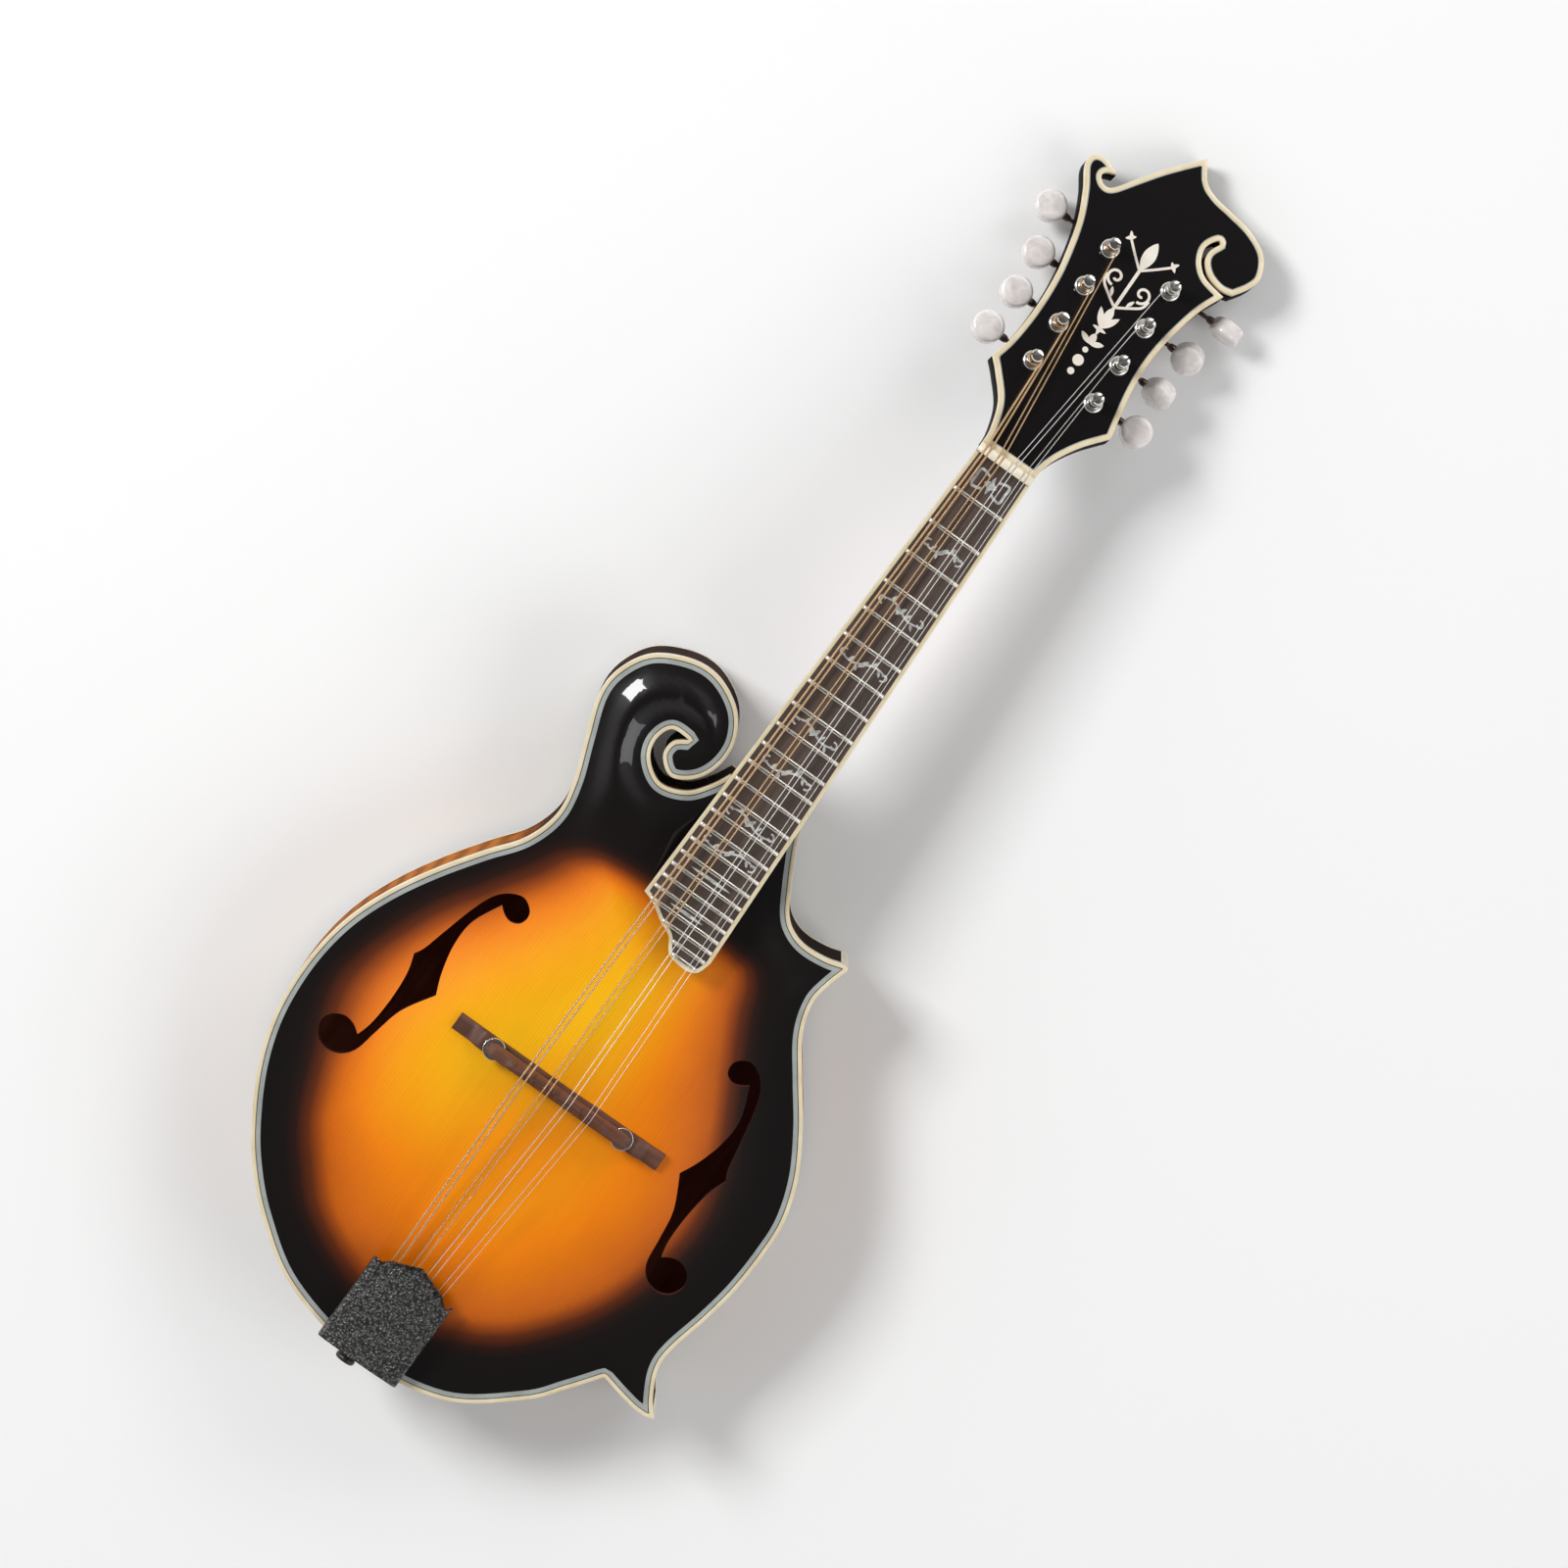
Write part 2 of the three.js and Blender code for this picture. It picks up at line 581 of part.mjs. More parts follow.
addPart('soundboard', makeSoundboard(), 'spruce');
addPart('back_plate', makeBackPlate(), 'maple');
const rimWall = makeRim();
const farLeft = [[-2 * BEYOND, 2 * BEYOND], [-2 * BEYOND, -2 * BEYOND]];
addPart('rib_bass', makeRib(rimWall, JOINTS.neck, JOINTS.tail, farLeft), 'maple');
const farRight = [[2 * BEYOND, -2 * BEYOND]];
addPart('rib_lower', makeRib(rimWall, JOINTS.tail, JOINTS.lowerPoint, farRight), 'maple');
addPart('rib_waist', makeRib(rimWall, JOINTS.lowerPoint, JOINTS.upperPoint, [[2 * BEYOND, 0]]), 'maple');
addPart('rib_upper', makeRib(rimWall, JOINTS.upperPoint, JOINTS.neck, []), 'maple');
addPart('lower_point_cap', rimWall.intersect(capRound(LOWER_POINT, CAP_RADIUS)), 'celluloid');
addPart('upper_point_cap', rimWall.intersect(capRound(UPPER_POINT, CAP_RADIUS)), 'celluloid');
const topBinding = prismGeometry(bodyOutline, TOP_EDGE_Z - BINDING_HEIGHT, TOP_EDGE_Z, bindingInner);
addPart('top_binding', topBinding, 'celluloid');
const backBinding = prismGeometry(bodyOutline, BACK_EDGE_Z, BACK_EDGE_Z + BINDING_HEIGHT, bindingInner);
addPart('back_binding', backBinding, 'celluloid');
for (const [sideName, side] of [['bass', -1], ['treble', 1]]) {
  const topHigh = TOP_GLUE_Z - GLUE_GAP;
  const backLow = BACK_GLUE_Z + GLUE_GAP;
  addPart(`top_lining_${sideName}`, makeLining(side, topHigh - LINING_HEIGHT, topHigh), 'bareWood');
  addPart(`back_lining_${sideName}`, makeLining(side, backLow, backLow + LINING_HEIGHT), 'bareWood');
}
addPart('head_block', makeHeadBlock(), 'bareWood');
addPart('tail_block', makeTailBlock(), 'bareWood');
addPart('tone_bar_bass', makeToneBar(TONE_BAR_X.bass), 'bareWood');
addPart('tone_bar_treble', makeToneBar(TONE_BAR_X.treble), 'bareWood');

// ---- neck ----------------------------------------------------------------------------------------

const NECK_START_Y = NECK_END_Y + 0.3;
const SHAFT_END_Y = HEAD_START_Y + 7;
const NECK_TOP_DROP = (BOARD_THICKNESS + GLUE_GAP) / Math.cos(NECK_SLOPE);

function neckTopZ(y) {
  return BOARD_TOP_AT_NUT + (SCALE_LENGTH - y) * Math.tan(NECK_SLOPE) - NECK_TOP_DROP;
}

function boardHalfWidth(y) {
  return NUT_HALF_WIDTH + BOARD_FLARE * (SCALE_LENGTH - y);
}

// The neck's depth below the fretboard: slim behind the nut and swept down into the heel at the body.
function neckDepth(y) {
  const slim = NECK_DEPTH_AT_NUT + NECK_DEPTH_GROWTH * (SCALE_LENGTH - y);
  const intoHeel = THREE.MathUtils.clamp((HEEL_SWEEP_Y - y) / (HEEL_SWEEP_Y - NECK_START_Y), 0, 1);
  const headBlend = THREE.MathUtils.clamp((y - SCALE_LENGTH) / (SHAFT_END_Y - SCALE_LENGTH), 0, 1);
  const heelDepth = neckTopZ(NECK_START_Y) - HEEL_Z;
  return slim + (heelDepth - slim) * intoHeel ** HEEL_SWEEP_POWER - HEAD_THINNING * headBlend;
}

// Half a round column, reshaped into the neck: flat above, rounded below, narrower down the heel.
function makeNeckShaft() {
  const length = SHAFT_END_Y - NECK_START_Y;
  const geometry = new THREE.CylinderGeometry(1, 1, length, 14, 14);
  const places = geometry.attributes.position;
  for (let i = 0; i < places.count; i += 1) {
    const y = NECK_START_Y + places.getY(i) + length / 2;
    const down = -places.getZ(i);
    const depth = neckDepth(y);
    const narrowing = 0.5 * THREE.MathUtils.smootherstep(depth, 10, 66) * Math.max(0, down);
    const x = places.getX(i) * (boardHalfWidth(y) - 0.2) * (1 - narrowing);
    places.setXYZ(i, x, y, neckTopZ(y) - down * (down > 0 ? depth : CROWN_OF_NECK));
  }
  return toSolid(geometry);
}

function postPlaces() {
  const places = [];
  for (const [sideName, side] of [['bass', -1], ['treble', 1]]) {
    for (let i = 0; i < 4; i += 1) {
      places.push({ sideName, side, index: i, x: side * POST_X, y: FIRST_POST_Y + i * POST_SPACING });
    }
  }
  return places;
}

function postBores(low, high) {
  return postPlaces().map(({ x, y }) => rod(x, y, POST_RADIUS + 0.6, low, high, 8));
}

const headBindingInner = insetOutline(headOutline, HEAD_BINDING_WIDTH);
const overlayOutline = insetOutline(headBindingInner, GLUE_GAP);

function makeHeadCore() {
  const ledge = -HEAD_BINDING_HEIGHT - GLUE_GAP;
  const seat = -OVERLAY_THICKNESS - GLUE_GAP;
  const whole = join(prism(headOutline, -HEAD_THICKNESS, ledge), prism(overlayOutline, ledge - 1, seat));
  return cut(whole, block(-40, 40, -10, 2, -20, 5), ...postBores(-HEAD_THICKNESS - 1, 1));
}

// A solid made in a frame's own axes, moved to where the frame is.
function placed(shape, frame) {
  frame.updateMatrixWorld(true);
  return toSolid(toGeometry(shape).applyMatrix4(frame.matrixWorld));
}

// The tongue that carries the fretboard over the soundboard without touching it.
function makeTongue() {
  const rootY = NECK_START_Y + 2;
  const outline = [];
  for (let y = TONGUE_END_Y; y < NECK_END_Y; y += 9) {
    outline.push([y, topZ(0, y) + FACET_CLEARANCE]);
  }
  outline.push([rootY, TOP_EDGE_Z + FACET_CLEARANCE], [rootY, neckTopZ(rootY)]);
  outline.push([TONGUE_END_Y, neckTopZ(TONGUE_END_Y)]);
  return crossPrism(outline, -TONGUE_HALF_WIDTH, TONGUE_HALF_WIDTH);
}

// The steel bar let into the neck under the fretboard, or its groove when grow is the room round it.
function neckBar(grow) {
  const [y0, y1] = [BAR_Y[0] - grow, BAR_Y[1] + grow];
  const upper = grow > 0 ? 1 : -GLUE_GAP;
  const lower = -BAR_DEPTH - grow;
  const [top0, top1] = [neckTopZ(y0), neckTopZ(y1)];
  const outline = [[y0, top0 + lower], [y1, top1 + lower], [y1, top1 + upper], [y0, top0 + upper]];
  return crossPrism(outline, -BAR_HALF_WIDTH - grow, BAR_HALF_WIDTH + grow);
}

function makeNeck() {
  const whole = join(makeNeckShaft(), placed(makeHeadCore(), headFrame), makeTongue(), dovetail(0));
  const nutSeat = block(-40, 40, SCALE_LENGTH - GLUE_GAP, HEAD_START_Y + GLUE_GAP,
    NUT_BOTTOM_Z - GLUE_GAP, 70);
  return cut(whole, neckBar(RUNNING_GAP), nutSeat);
}

function makeHeadBinding() {
  const ring = toSolid(prismGeometry(headOutline, -HEAD_BINDING_HEIGHT, 0, headBindingInner));
  return cut(ring, block(-60, 60, -5, 1.6, -10, 5));
}

function makeOverlay() {
  return cut(prism(overlayOutline, -OVERLAY_THICKNESS, 0), ...postBores(-5, 5));
}

// The fretboard's outline in its own sloping plane: y is minus the distance from the nut.
function boardOutline() {
  const end = smoothRun(BOARD_END_RUN, 3).map(({ x, y }) => new THREE.Vector2(x, -y));
  return [...end, new THREE.Vector2(NUT_HALF_WIDTH, -GLUE_GAP), new THREE.Vector2(-NUT_HALF_WIDTH,
    -GLUE_GAP)];
}

// The outline without its bound edge, run out to the given y at the nut.
function boardInner(edge, nutY) {
  const end = insetOutline(boardOutline(), edge).filter(({ y }) => y < -BOARD_END_RUN[0][1]);
  const half = NUT_HALF_WIDTH - edge;
  return [...end, new THREE.Vector2(half, nutY), new THREE.Vector2(-half, nutY)];
}

function makeBoardBinding() {
  const whole = prism(boardOutline(), -BOARD_THICKNESS, 0);
  return cut(whole, prism(boardInner(BOARD_BINDING, 8), -BOARD_THICKNESS - 1, 1));
}

function makeNut() {
  const [y0, y1] = [SCALE_LENGTH, HEAD_START_Y - GLUE_GAP];
  const halfWidth = NUT_HALF_WIDTH - 0.3;
  const outline = [[y0, NUT_BOTTOM_Z], [y1, NUT_BOTTOM_Z], [y1, NUT_TOP_Z - 1.2], [y1 - 1.6, NUT_TOP_Z],
    [y0, NUT_TOP_Z]];
  return crossPrism(outline, -halfWidth, halfWidth);
}

addPart('neck', makeNeck(), 'maple');
addPart('neck_bar', neckBar(0), 'darkSteel');
addPart('headstock_overlay', makeOverlay(), 'lacquer', headFrame);
addPart('headstock_binding', makeHeadBinding(), 'celluloid', headFrame);
const fretboard = prismGeometry(boardInner(BOARD_BINDING + GLUE_GAP, -GLUE_GAP), -BOARD_THICKNESS, 0);
addPart('fretboard', fretboard, 'ebony', boardFrame);
addPart('fretboard_binding', makeBoardBinding(), 'celluloid', boardFrame);
addPart('nut', makeNut(), 'bone');

// ---- bridge --------------------------------------------------------------------------------------

function bridgePostBores(radius, low, high) {
  return [-1, 1].map((side) => rod(side * BRIDGE_POST_X, 0, radius, low, high));
}

function makeBridgeBase() {
  const shape = new THREE.Shape();
  const steps = 16;
  for (let i = 0; i <= steps; i += 1) {
    const x = BASE_HALF_LENGTH * ((2 * i) / steps - 1);
    const relief = Math.abs(x) < FEET_INNER_X ? FEET_HEIGHT : 0;
    const z = topZ(x, 0) + FACET_CLEARANCE / 2 + relief;
    if (i === 0) {
      shape.moveTo(x, z);
    } else {
      shape.lineTo(x, z);
    }
  }
  const endZ = topZ(BASE_HALF_LENGTH, 0) + BASE_END_HEIGHT;
  const [innerX, outerX] = BASE_SHOULDER_X;
  shape.lineTo(BASE_HALF_LENGTH, endZ);
  shape.quadraticCurveTo(outerX, endZ + 1, innerX, BASE_TOP_Z);
  shape.lineTo(-innerX, BASE_TOP_Z);
  shape.quadraticCurveTo(-outerX, endZ + 1, -BASE_HALF_LENGTH, endZ);
  const bores = bridgePostBores(BRIDGE_POST_RADIUS + GLUE_GAP, BRIDGE_POST_Z[0] - RUNNING_GAP, BEYOND);
  return cut(lengthPrism(shape, BASE_WIDTH), ...bores);
}

// The saddle is high under the strings and drops to a shoulder over each post.
function makeSaddle() {
  const shape = new THREE.Shape();
  const end = SADDLE_HALF_LENGTH;
  const bulge = end + SADDLE_END_BULGE;
  const middleZ = (SADDLE_BOTTOM_Z + SADDLE_TOP_Z) / 2;
  const shoulderZ = SADDLE_TOP_Z - SADDLE_STEP;
  const [stepStart, stepEnd] = SADDLE_STEP_X;
  shape.moveTo(-end, SADDLE_BOTTOM_Z);
  shape.lineTo(end, SADDLE_BOTTOM_Z);
  shape.quadraticCurveTo(bulge, middleZ, end, shoulderZ - 0.6);
  shape.lineTo(stepEnd, shoulderZ);
  shape.lineTo(stepStart, SADDLE_TOP_Z);
  shape.lineTo(-stepStart, SADDLE_TOP_Z);
  shape.lineTo(-stepEnd, shoulderZ);
  shape.lineTo(-end, shoulderZ - 0.6);
  shape.quadraticCurveTo(-bulge, middleZ, -end, SADDLE_BOTTOM_Z);
  const bores = bridgePostBores(BRIDGE_POST_RADIUS + RUNNING_GAP, 0, SADDLE_BORE_TOP_Z);
  return cut(lengthPrism(shape, SADDLE_WIDTH), ...bores);
}

addPart('bridge_base', makeBridgeBase(), 'rosewood');
addPart('bridge_saddle', makeSaddle(), 'rosewood');
for (const [sideName, side] of [['bass', -1], ['treble', 1]]) {
  const x = side * BRIDGE_POST_X;
  addPart(`bridge_post_${sideName}`, rod(x, 0, BRIDGE_POST_RADIUS, ...BRIDGE_POST_Z), 'nickel');
  const wheel = cut(rod(x, 0, WHEEL_RADIUS, ...WHEEL_Z, 20), rod(x, 0, BRIDGE_POST_RADIUS + 0.1, 0,
    BEYOND));
  addPart(`thumbwheel_${sideName}`, wheel, 'nickel');
}

// ---- tailpiece and strap button ------------------------------------------------------------------

function stringPlaces() {
  return COURSES.flatMap((course, courseIndex) => [-1, 1].map((half) => ({
    name: `string_${course.name}${half < 0 ? 1 : 2}`,
    courseIndex,
    half,
    radius: course.radius,
    tail: course.tail + half * PAIR_HALF_GAP.tail,
    saddle: course.saddle + half * PAIR_HALF_GAP.saddle,
    nut: course.nut + half * PAIR_HALF_GAP.nut,
  })));
}

// A plate on the tail's edge with a row of string hooks, and a flange down the tail under the strap button.
function makeTailpieceBase() {
  const [x0, x1] = COVER_X;
  const plate = block(x0 + 2, x1 - 2, ...BASE_PLATE_Y, BASE_PLATE_Z, BASE_PLATE_Z + 1.2);
  const hookBar = block(x0 + 3, x1 - 3, ...HOOK_BAR_Y, BASE_PLATE_Z + 0.6, BASE_PLATE_Z + 3);
  const hooks = stringPlaces().map(({ tail }) => (
    block(tail - HOOK_HALF_WIDTH, tail + HOOK_HALF_WIDTH, ...HOOK_Y, BASE_PLATE_Z + 2, HOOK_TOP_Z)));
  const upper = placed(join(plate, hookBar, ...hooks), tailFrame);
  const [flange0, flange1] = [PIN_X - FLANGE_HALF_WIDTH, PIN_X + FLANGE_HALF_WIDTH];
  const flange = block(flange0, flange1, TAIL_END_Y - 1.5, TAIL_END_Y - RUNNING_GAP, ...FLANGE_Z);
  return cut(join(upper, flange), pinBore());
}

// A thin lid with two side walls and a pointed front edge, open at both ends so that it slides off the hooks.
function makeTailpieceCover() {
  const [x0, x1] = COVER_X;
  const middle = (x0 + x1) / 2;
  const half = (x1 - x0) / 2;
  const front = [[half, COVER_SIDE_END_Y], [half - 3, 33.5], [half - 8, 36.5], [half - 14, 39], [0,
    COVER_FRONT_Y]];
  const left = front.slice(0, -1).reverse().map(([x, y]) => [-x, y]);
  const outline = [[-half, COVER_REAR_Y], [half, COVER_REAR_Y], ...front, ...left];
  const lid = prism(outline.map(([x, y]) => new THREE.Vector2(middle + x, y)), COVER_Z,
    COVER_Z + COVER_SHEET);
  const skirtLow = BASE_PLATE_Z + 1.6;
  const skirts = [x0, x1 - COVER_SHEET].map((x) => (
    block(x, x + COVER_SHEET, COVER_REAR_Y, COVER_SIDE_END_Y, skirtLow, COVER_Z + COVER_SHEET / 2)));
  return join(lid, ...skirts);
}

function makeStrapButton() {
  const shank = PIN_END_Y;
  const face = BUTTON_FACE_Y;
  const profile = [[0, shank], [PIN_RADIUS, shank], [PIN_RADIUS, TAIL_END_Y - 1.8], [PIN_RADIUS + 0.4,
    face + 4.6],
    [BUTTON_RADIUS, face + 1.6], [BUTTON_RADIUS - 0.4, face], [0, face]];
  const geometry = new THREE.LatheGeometry(profile.map(point).reverse(), 16);
  return toSolid(geometry.translate(PIN_X, 0, PIN_Z));
}

addPart('tailpiece_base', makeTailpieceBase(), 'blackMetal');
addPart('tailpiece_cover', makeTailpieceCover(), 'blackMetal', tailFrame);
addPart('strap_button', makeStrapButton(), 'ebony');

// ---- tuning machines -----------------------------------------------------------------------------

const BACK_FACE = -HEAD_THICKNESS - GLUE_GAP;

// Four worm bearings on one strip, screwed to the back of the headstock.
function makeTunerPlate(side) {
  const places = postPlaces().filter((place) => place.side === side);
  const low = BACK_FACE - TUNER_PLATE;
  const [x0, x1] = TUNER_PLATE_X.map((x) => side * x).sort((a, b) => a - b);
  const [y0, y1] = [places[0].y - TUNER_PLATE_ENDS[0], places[3].y + TUNER_PLATE_ENDS[1]];
  const pieces = [block(x0, x1, y0, y1, low, BACK_FACE)];
  const bores = [];
  for (const { x, y } of places) {
    bores.push(rod(x, y, POST_RADIUS + 2 * RUNNING_GAP, low - 1, 0, 8));
    const wormY = y + WORM_OFFSET;
    for (const ear of EAR_X) {
      const [e0, e1] = ear.map((value) => side * value).sort((a, b) => a - b);
      pieces.push(block(e0, e1, wormY - EAR_HALF_LENGTH, wormY + EAR_HALF_LENGTH, -WORM_DEPTH - EAR_DROP,
        low + 0.5));
      bores.push(crossRod(wormY, -WORM_DEPTH, SHAFT_RADIUS + 0.12, e0 - 1, e1 + 1));
    }
  }
  return cut(join(...pieces), ...bores);
}

// A string post with its gear on the lower end, made about its own axis.
function makePost() {
  const gear = [];
  for (let i = 0; i < 2 * GEAR_TEETH; i += 1) {
    const radius = i % 2 ? GEAR_ROOT : GEAR_RADIUS;
    const angle = (i / GEAR_TEETH) * Math.PI;
    gear.push(new THREE.Vector2(radius * Math.cos(angle), radius * Math.sin(angle)));
  }
  const gearTop = BACK_FACE - TUNER_PLATE - RUNNING_GAP;
  const wheel = prism(gear, gearTop - GEAR_THICKNESS, gearTop);
  return join(rod(0, 0, POST_RADIUS, gearTop - 1, POST_RISE, 10), wheel);
}

// A button on its worm shaft, made about the shaft's axis along x.
function makeKey(knobX) {
  const knobStart = knobX - KNOB_RADIUS;
  const shaft = crossRod(0, 0, SHAFT_RADIUS, SHAFT_START_X, knobStart + SHAFT_IN_KNOB);
  const worm = crossRod(0, 0, WORM_RADIUS, ...WORM_X);
  const collar = crossRod(0, 0, COLLAR_RADIUS, knobStart - COLLAR_LENGTH, knobStart + SHAFT_IN_KNOB);
  const [r, h] = [KNOB_RADIUS, KNOB_HALF_THICKNESS];
  const profile = [[0, -h], [r * 0.72, -h * 0.9], [r, -h * 0.35], [r, h * 0.35], [r * 0.72, h * 0.9], [0,
    h]];
  const button = new THREE.LatheGeometry(profile.map(point), 12).rotateX(Math.PI / 2).translate(knobX, 0,
    0);
  return join(shaft, worm, collar, toSolid(button));
}

function addTuners() {
  for (const { sideName, side, index, x, y } of postPlaces()) {
    const post = toGeometry(makePost()).translate(x, y, 0);
    addPart(`tuner_post_${sideName}_${index + 1}`, post, 'nickel', headFrame);
    const key = toGeometry(makeKey(KNOB_X[index]));
    if (side < 0) {
      key.rotateZ(Math.PI);
    }
    key.rotateX(THREE.MathUtils.degToRad(KEY_TURNS[sideName][index]));
    key.translate(0, y + WORM_OFFSET, -WORM_DEPTH);
    addPart(`tuner_key_${sideName}_${index + 1}`, key, 'pearloid', headFrame);
  }
  addPart('tuner_plate_bass', makeTunerPlate(-1), 'nickel', headFrame);
  addPart('tuner_plate_treble', makeTunerPlate(1), 'nickel', headFrame);
}

addTuners();

// ---- strings -------------------------------------------------------------------------------------

// A line of straight stretches that is sampled exactly at its corners.
class StringPath extends THREE.Curve {
  constructor(corners) {
    super();
    this.corners = corners;
  }

  getPoint(share, target = new THREE.Vector3()) {
    const last = this.corners.length - 1;
    const index = Math.min(last - 1, Math.floor(share * last + 1e-9));
    return target.lerpVectors(this.corners[index], this.corners[index + 1], share * last - index);
  }

  getPointAt(share, target) {
    return this.getPoint(share, target);
  }
}

// The outer string of each outer course winds on the post nearest the nut, and the inner ones farther out.
function postFor({ courseIndex, half }) {
  const outer = courseIndex === 0 || courseIndex === 3 ? 0 : 2;
  const side = courseIndex < 2 ? -1 : 1;
  const index = outer + (half === side ? 0 : 1);
  return { side, index };
}

function makeString(string) {
  const { side, index } = postFor(string);
  const onPost = new THREE.Vector3(side * (POST_X - POST_RADIUS - STRING_CLEARANCE - string.radius),
    FIRST_POST_Y + index * POST_SPACING, STRING_ON_POST);
  headFrame.updateMatrixWorld(true);
  const corners = [
    new THREE.Vector3(string.tail, TAILPIECE_Y - 2.8, TAILPIECE_Z - 0.4),
    new THREE.Vector3(string.saddle, 0, STRING_AT_SADDLE_Z + string.radius),
    new THREE.Vector3(string.nut, SCALE_LENGTH + 2.5, STRING_AT_NUT_Z),
    onPost.applyMatrix4(headFrame.matrixWorld),
  ];
  const section = new THREE.Shape();
  section.absarc(0, 0, string.radius, 0, 2 * Math.PI);
  return new THREE.ExtrudeGeometry(section, {
    steps: corners.length - 1,
    curveSegments: 3,
    bevelEnabled: false,
    extrudePath: new StringPath(corners),
  });
}

for (const string of stringPlaces()) {
  addPart(string.name, makeString(string), string.courseIndex < 2 ? 'bronzeWire' : 'steelWire');
}

export default mandolin;
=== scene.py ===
import math
import bpy
import numpy as np
from mathutils import Matrix, Vector
from mathutils.geometry import delaunay_2d_cdt


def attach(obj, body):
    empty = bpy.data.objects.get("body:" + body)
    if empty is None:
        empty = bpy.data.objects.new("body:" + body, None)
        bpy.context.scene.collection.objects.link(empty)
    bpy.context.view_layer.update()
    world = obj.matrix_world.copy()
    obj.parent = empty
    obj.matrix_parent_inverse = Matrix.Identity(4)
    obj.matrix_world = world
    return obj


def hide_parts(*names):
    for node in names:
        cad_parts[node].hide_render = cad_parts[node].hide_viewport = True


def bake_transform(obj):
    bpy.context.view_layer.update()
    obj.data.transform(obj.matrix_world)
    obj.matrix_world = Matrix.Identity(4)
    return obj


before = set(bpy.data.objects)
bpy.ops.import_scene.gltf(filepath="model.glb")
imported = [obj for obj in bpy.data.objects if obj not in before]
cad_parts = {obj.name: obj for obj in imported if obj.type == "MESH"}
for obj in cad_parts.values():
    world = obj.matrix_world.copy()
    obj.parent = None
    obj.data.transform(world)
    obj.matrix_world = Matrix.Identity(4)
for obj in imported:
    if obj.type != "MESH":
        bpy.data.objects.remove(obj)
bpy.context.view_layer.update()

# A scroll-body mandolin. Shapes are worked out in millimetres and made in metres.
MM = 0.001

# ---- dimensions, in mm ---------------------------------------------------------------------------

SCALE_LENGTH = 352.4
BACK_EDGE_Z, TOP_EDGE_Z = 10.0, 60.0
PLATE_THICKNESS = 4.0
TOP_ARCH, BACK_ARCH = 12.0, 10.4
ARCH_RISE_WIDTH, ARCH_DOME_RADIUS = 62.0, 170.0
ARCH_CENTRE = np.array([-3.5, -15.0])
BODY_CENTRE = np.array([-4.0, -15.0])
CAP_RADIUS = 4.5
SCROLL_RELIEF, HORN_RELIEF = 4.6, 2.3
BEYOND = 400.0
# Ply, material, width and how far it stands out above the first ply.
BINDING_PLIES = [("cream", "cream", 1.9, 0.0), ("dark", "dark_ply", 0.35, 0.02),
                 ("silver", "silver_ply", 2.1, 0.04)]
RIM_THICKNESS = 3.0
RIB_HEIGHTS = [16.2, 22, 30, 40, 48, 53.8]

NECK_END_Y = 164.6
NECK_SLOPE = math.radians(3.4)
NUT_HALF_WIDTH, BOARD_FLARE = 14.9, 0.0277
BOARD_TOP_AT_NUT, BOARD_THICKNESS, BOARD_BINDING = 62.7, 5.0, 1.8
BINDING_STRIP_DEPTH = 2.2
NUT_DEPTH, NUT_BOTTOM_Z, NUT_TOP_Z = 5.0, 57.6, 64.9
HEEL_Z = 12.0
TONGUE_END_Y, TONGUE_ROOT_Y, TONGUE_HALF_WIDTH = 102.0, 167.0, 17.0
NECK_DEPTH_AT_NUT, NECK_DEPTH_GROWTH = 14.4, 0.015
HEEL_SWEEP_Y, HEEL_SWEEP_POWER, HEAD_THINNING = 206.0, 2.4, 5.0
NECK_TOP_DROP = (BOARD_THICKNESS + 0.2) / math.cos(NECK_SLOPE)

HEAD_PITCH = math.radians(16.5)
HEAD_START_Y, HEAD_START_Z = SCALE_LENGTH + NUT_DEPTH, 62.4
HEAD_THICKNESS = 13.9
HEAD_BINDING_WIDTH, HEAD_BINDING_HEIGHT = 2.3, 3.0

STRING_AT_SADDLE_Z, STRING_AT_NUT_Z = 88.5, 64.0
TAILPIECE_Y, TAILPIECE_Z = -146.0, 67.5
TAILPIECE_TILT = math.atan2(STRING_AT_SADDLE_Z - TAILPIECE_Z, -TAILPIECE_Y)
COVER_X, COVER_REAR_Y, COVER_WALL_Y, COVER_FRONT_Y = (-25.4, 18.4), -12.3, 29.5, 43.6
COVER_SKIRT_Z, COVER_EDGE_Z, COVER_CROWN, COVER_SHEET = -3.4, 3.0, 0.9, 0.9
COVER_SCALLOP = 7.35
STRAP_BUTTON_PLACE = (-7, -146, 38)

POST_X, FIRST_POST_Y, POST_SPACING = 17.0, 44.7, 21.6
POST_RADIUS, POST_WAIST, POST_RISE, STRING_ON_POST = 3.0, 2.6, 12.0, 7.0
POST_BORE_GAP = 0.6
COIL_TURNS = 3.5
GEAR_TEETH, GEAR_RADIUS, GEAR_ROOT = 14, 3.8, 3.2
WORM_OFFSET, WORM_DEPTH = 5.4, HEAD_THICKNESS + 3.2
SHAFT_RADIUS = 1.1
KNOB_RADIUS, KNOB_HALF = 7.7, 4.1
KNOB_X = [42, 40.5, 42.5, 50]
KEY_TURNS = {"bass": [0, 0, 0, 0], "treble": [0, 65, 45, 90]}

BRIDGE_HALF, BRIDGE_HALF_DEPTH, BRIDGE_BASE_TOP_Z = 57.5, 4.4, 76.4
SADDLE_HALF, SADDLE_LOW_Z, SADDLE_TOP_Z = 39.2, 80.6, 88.15
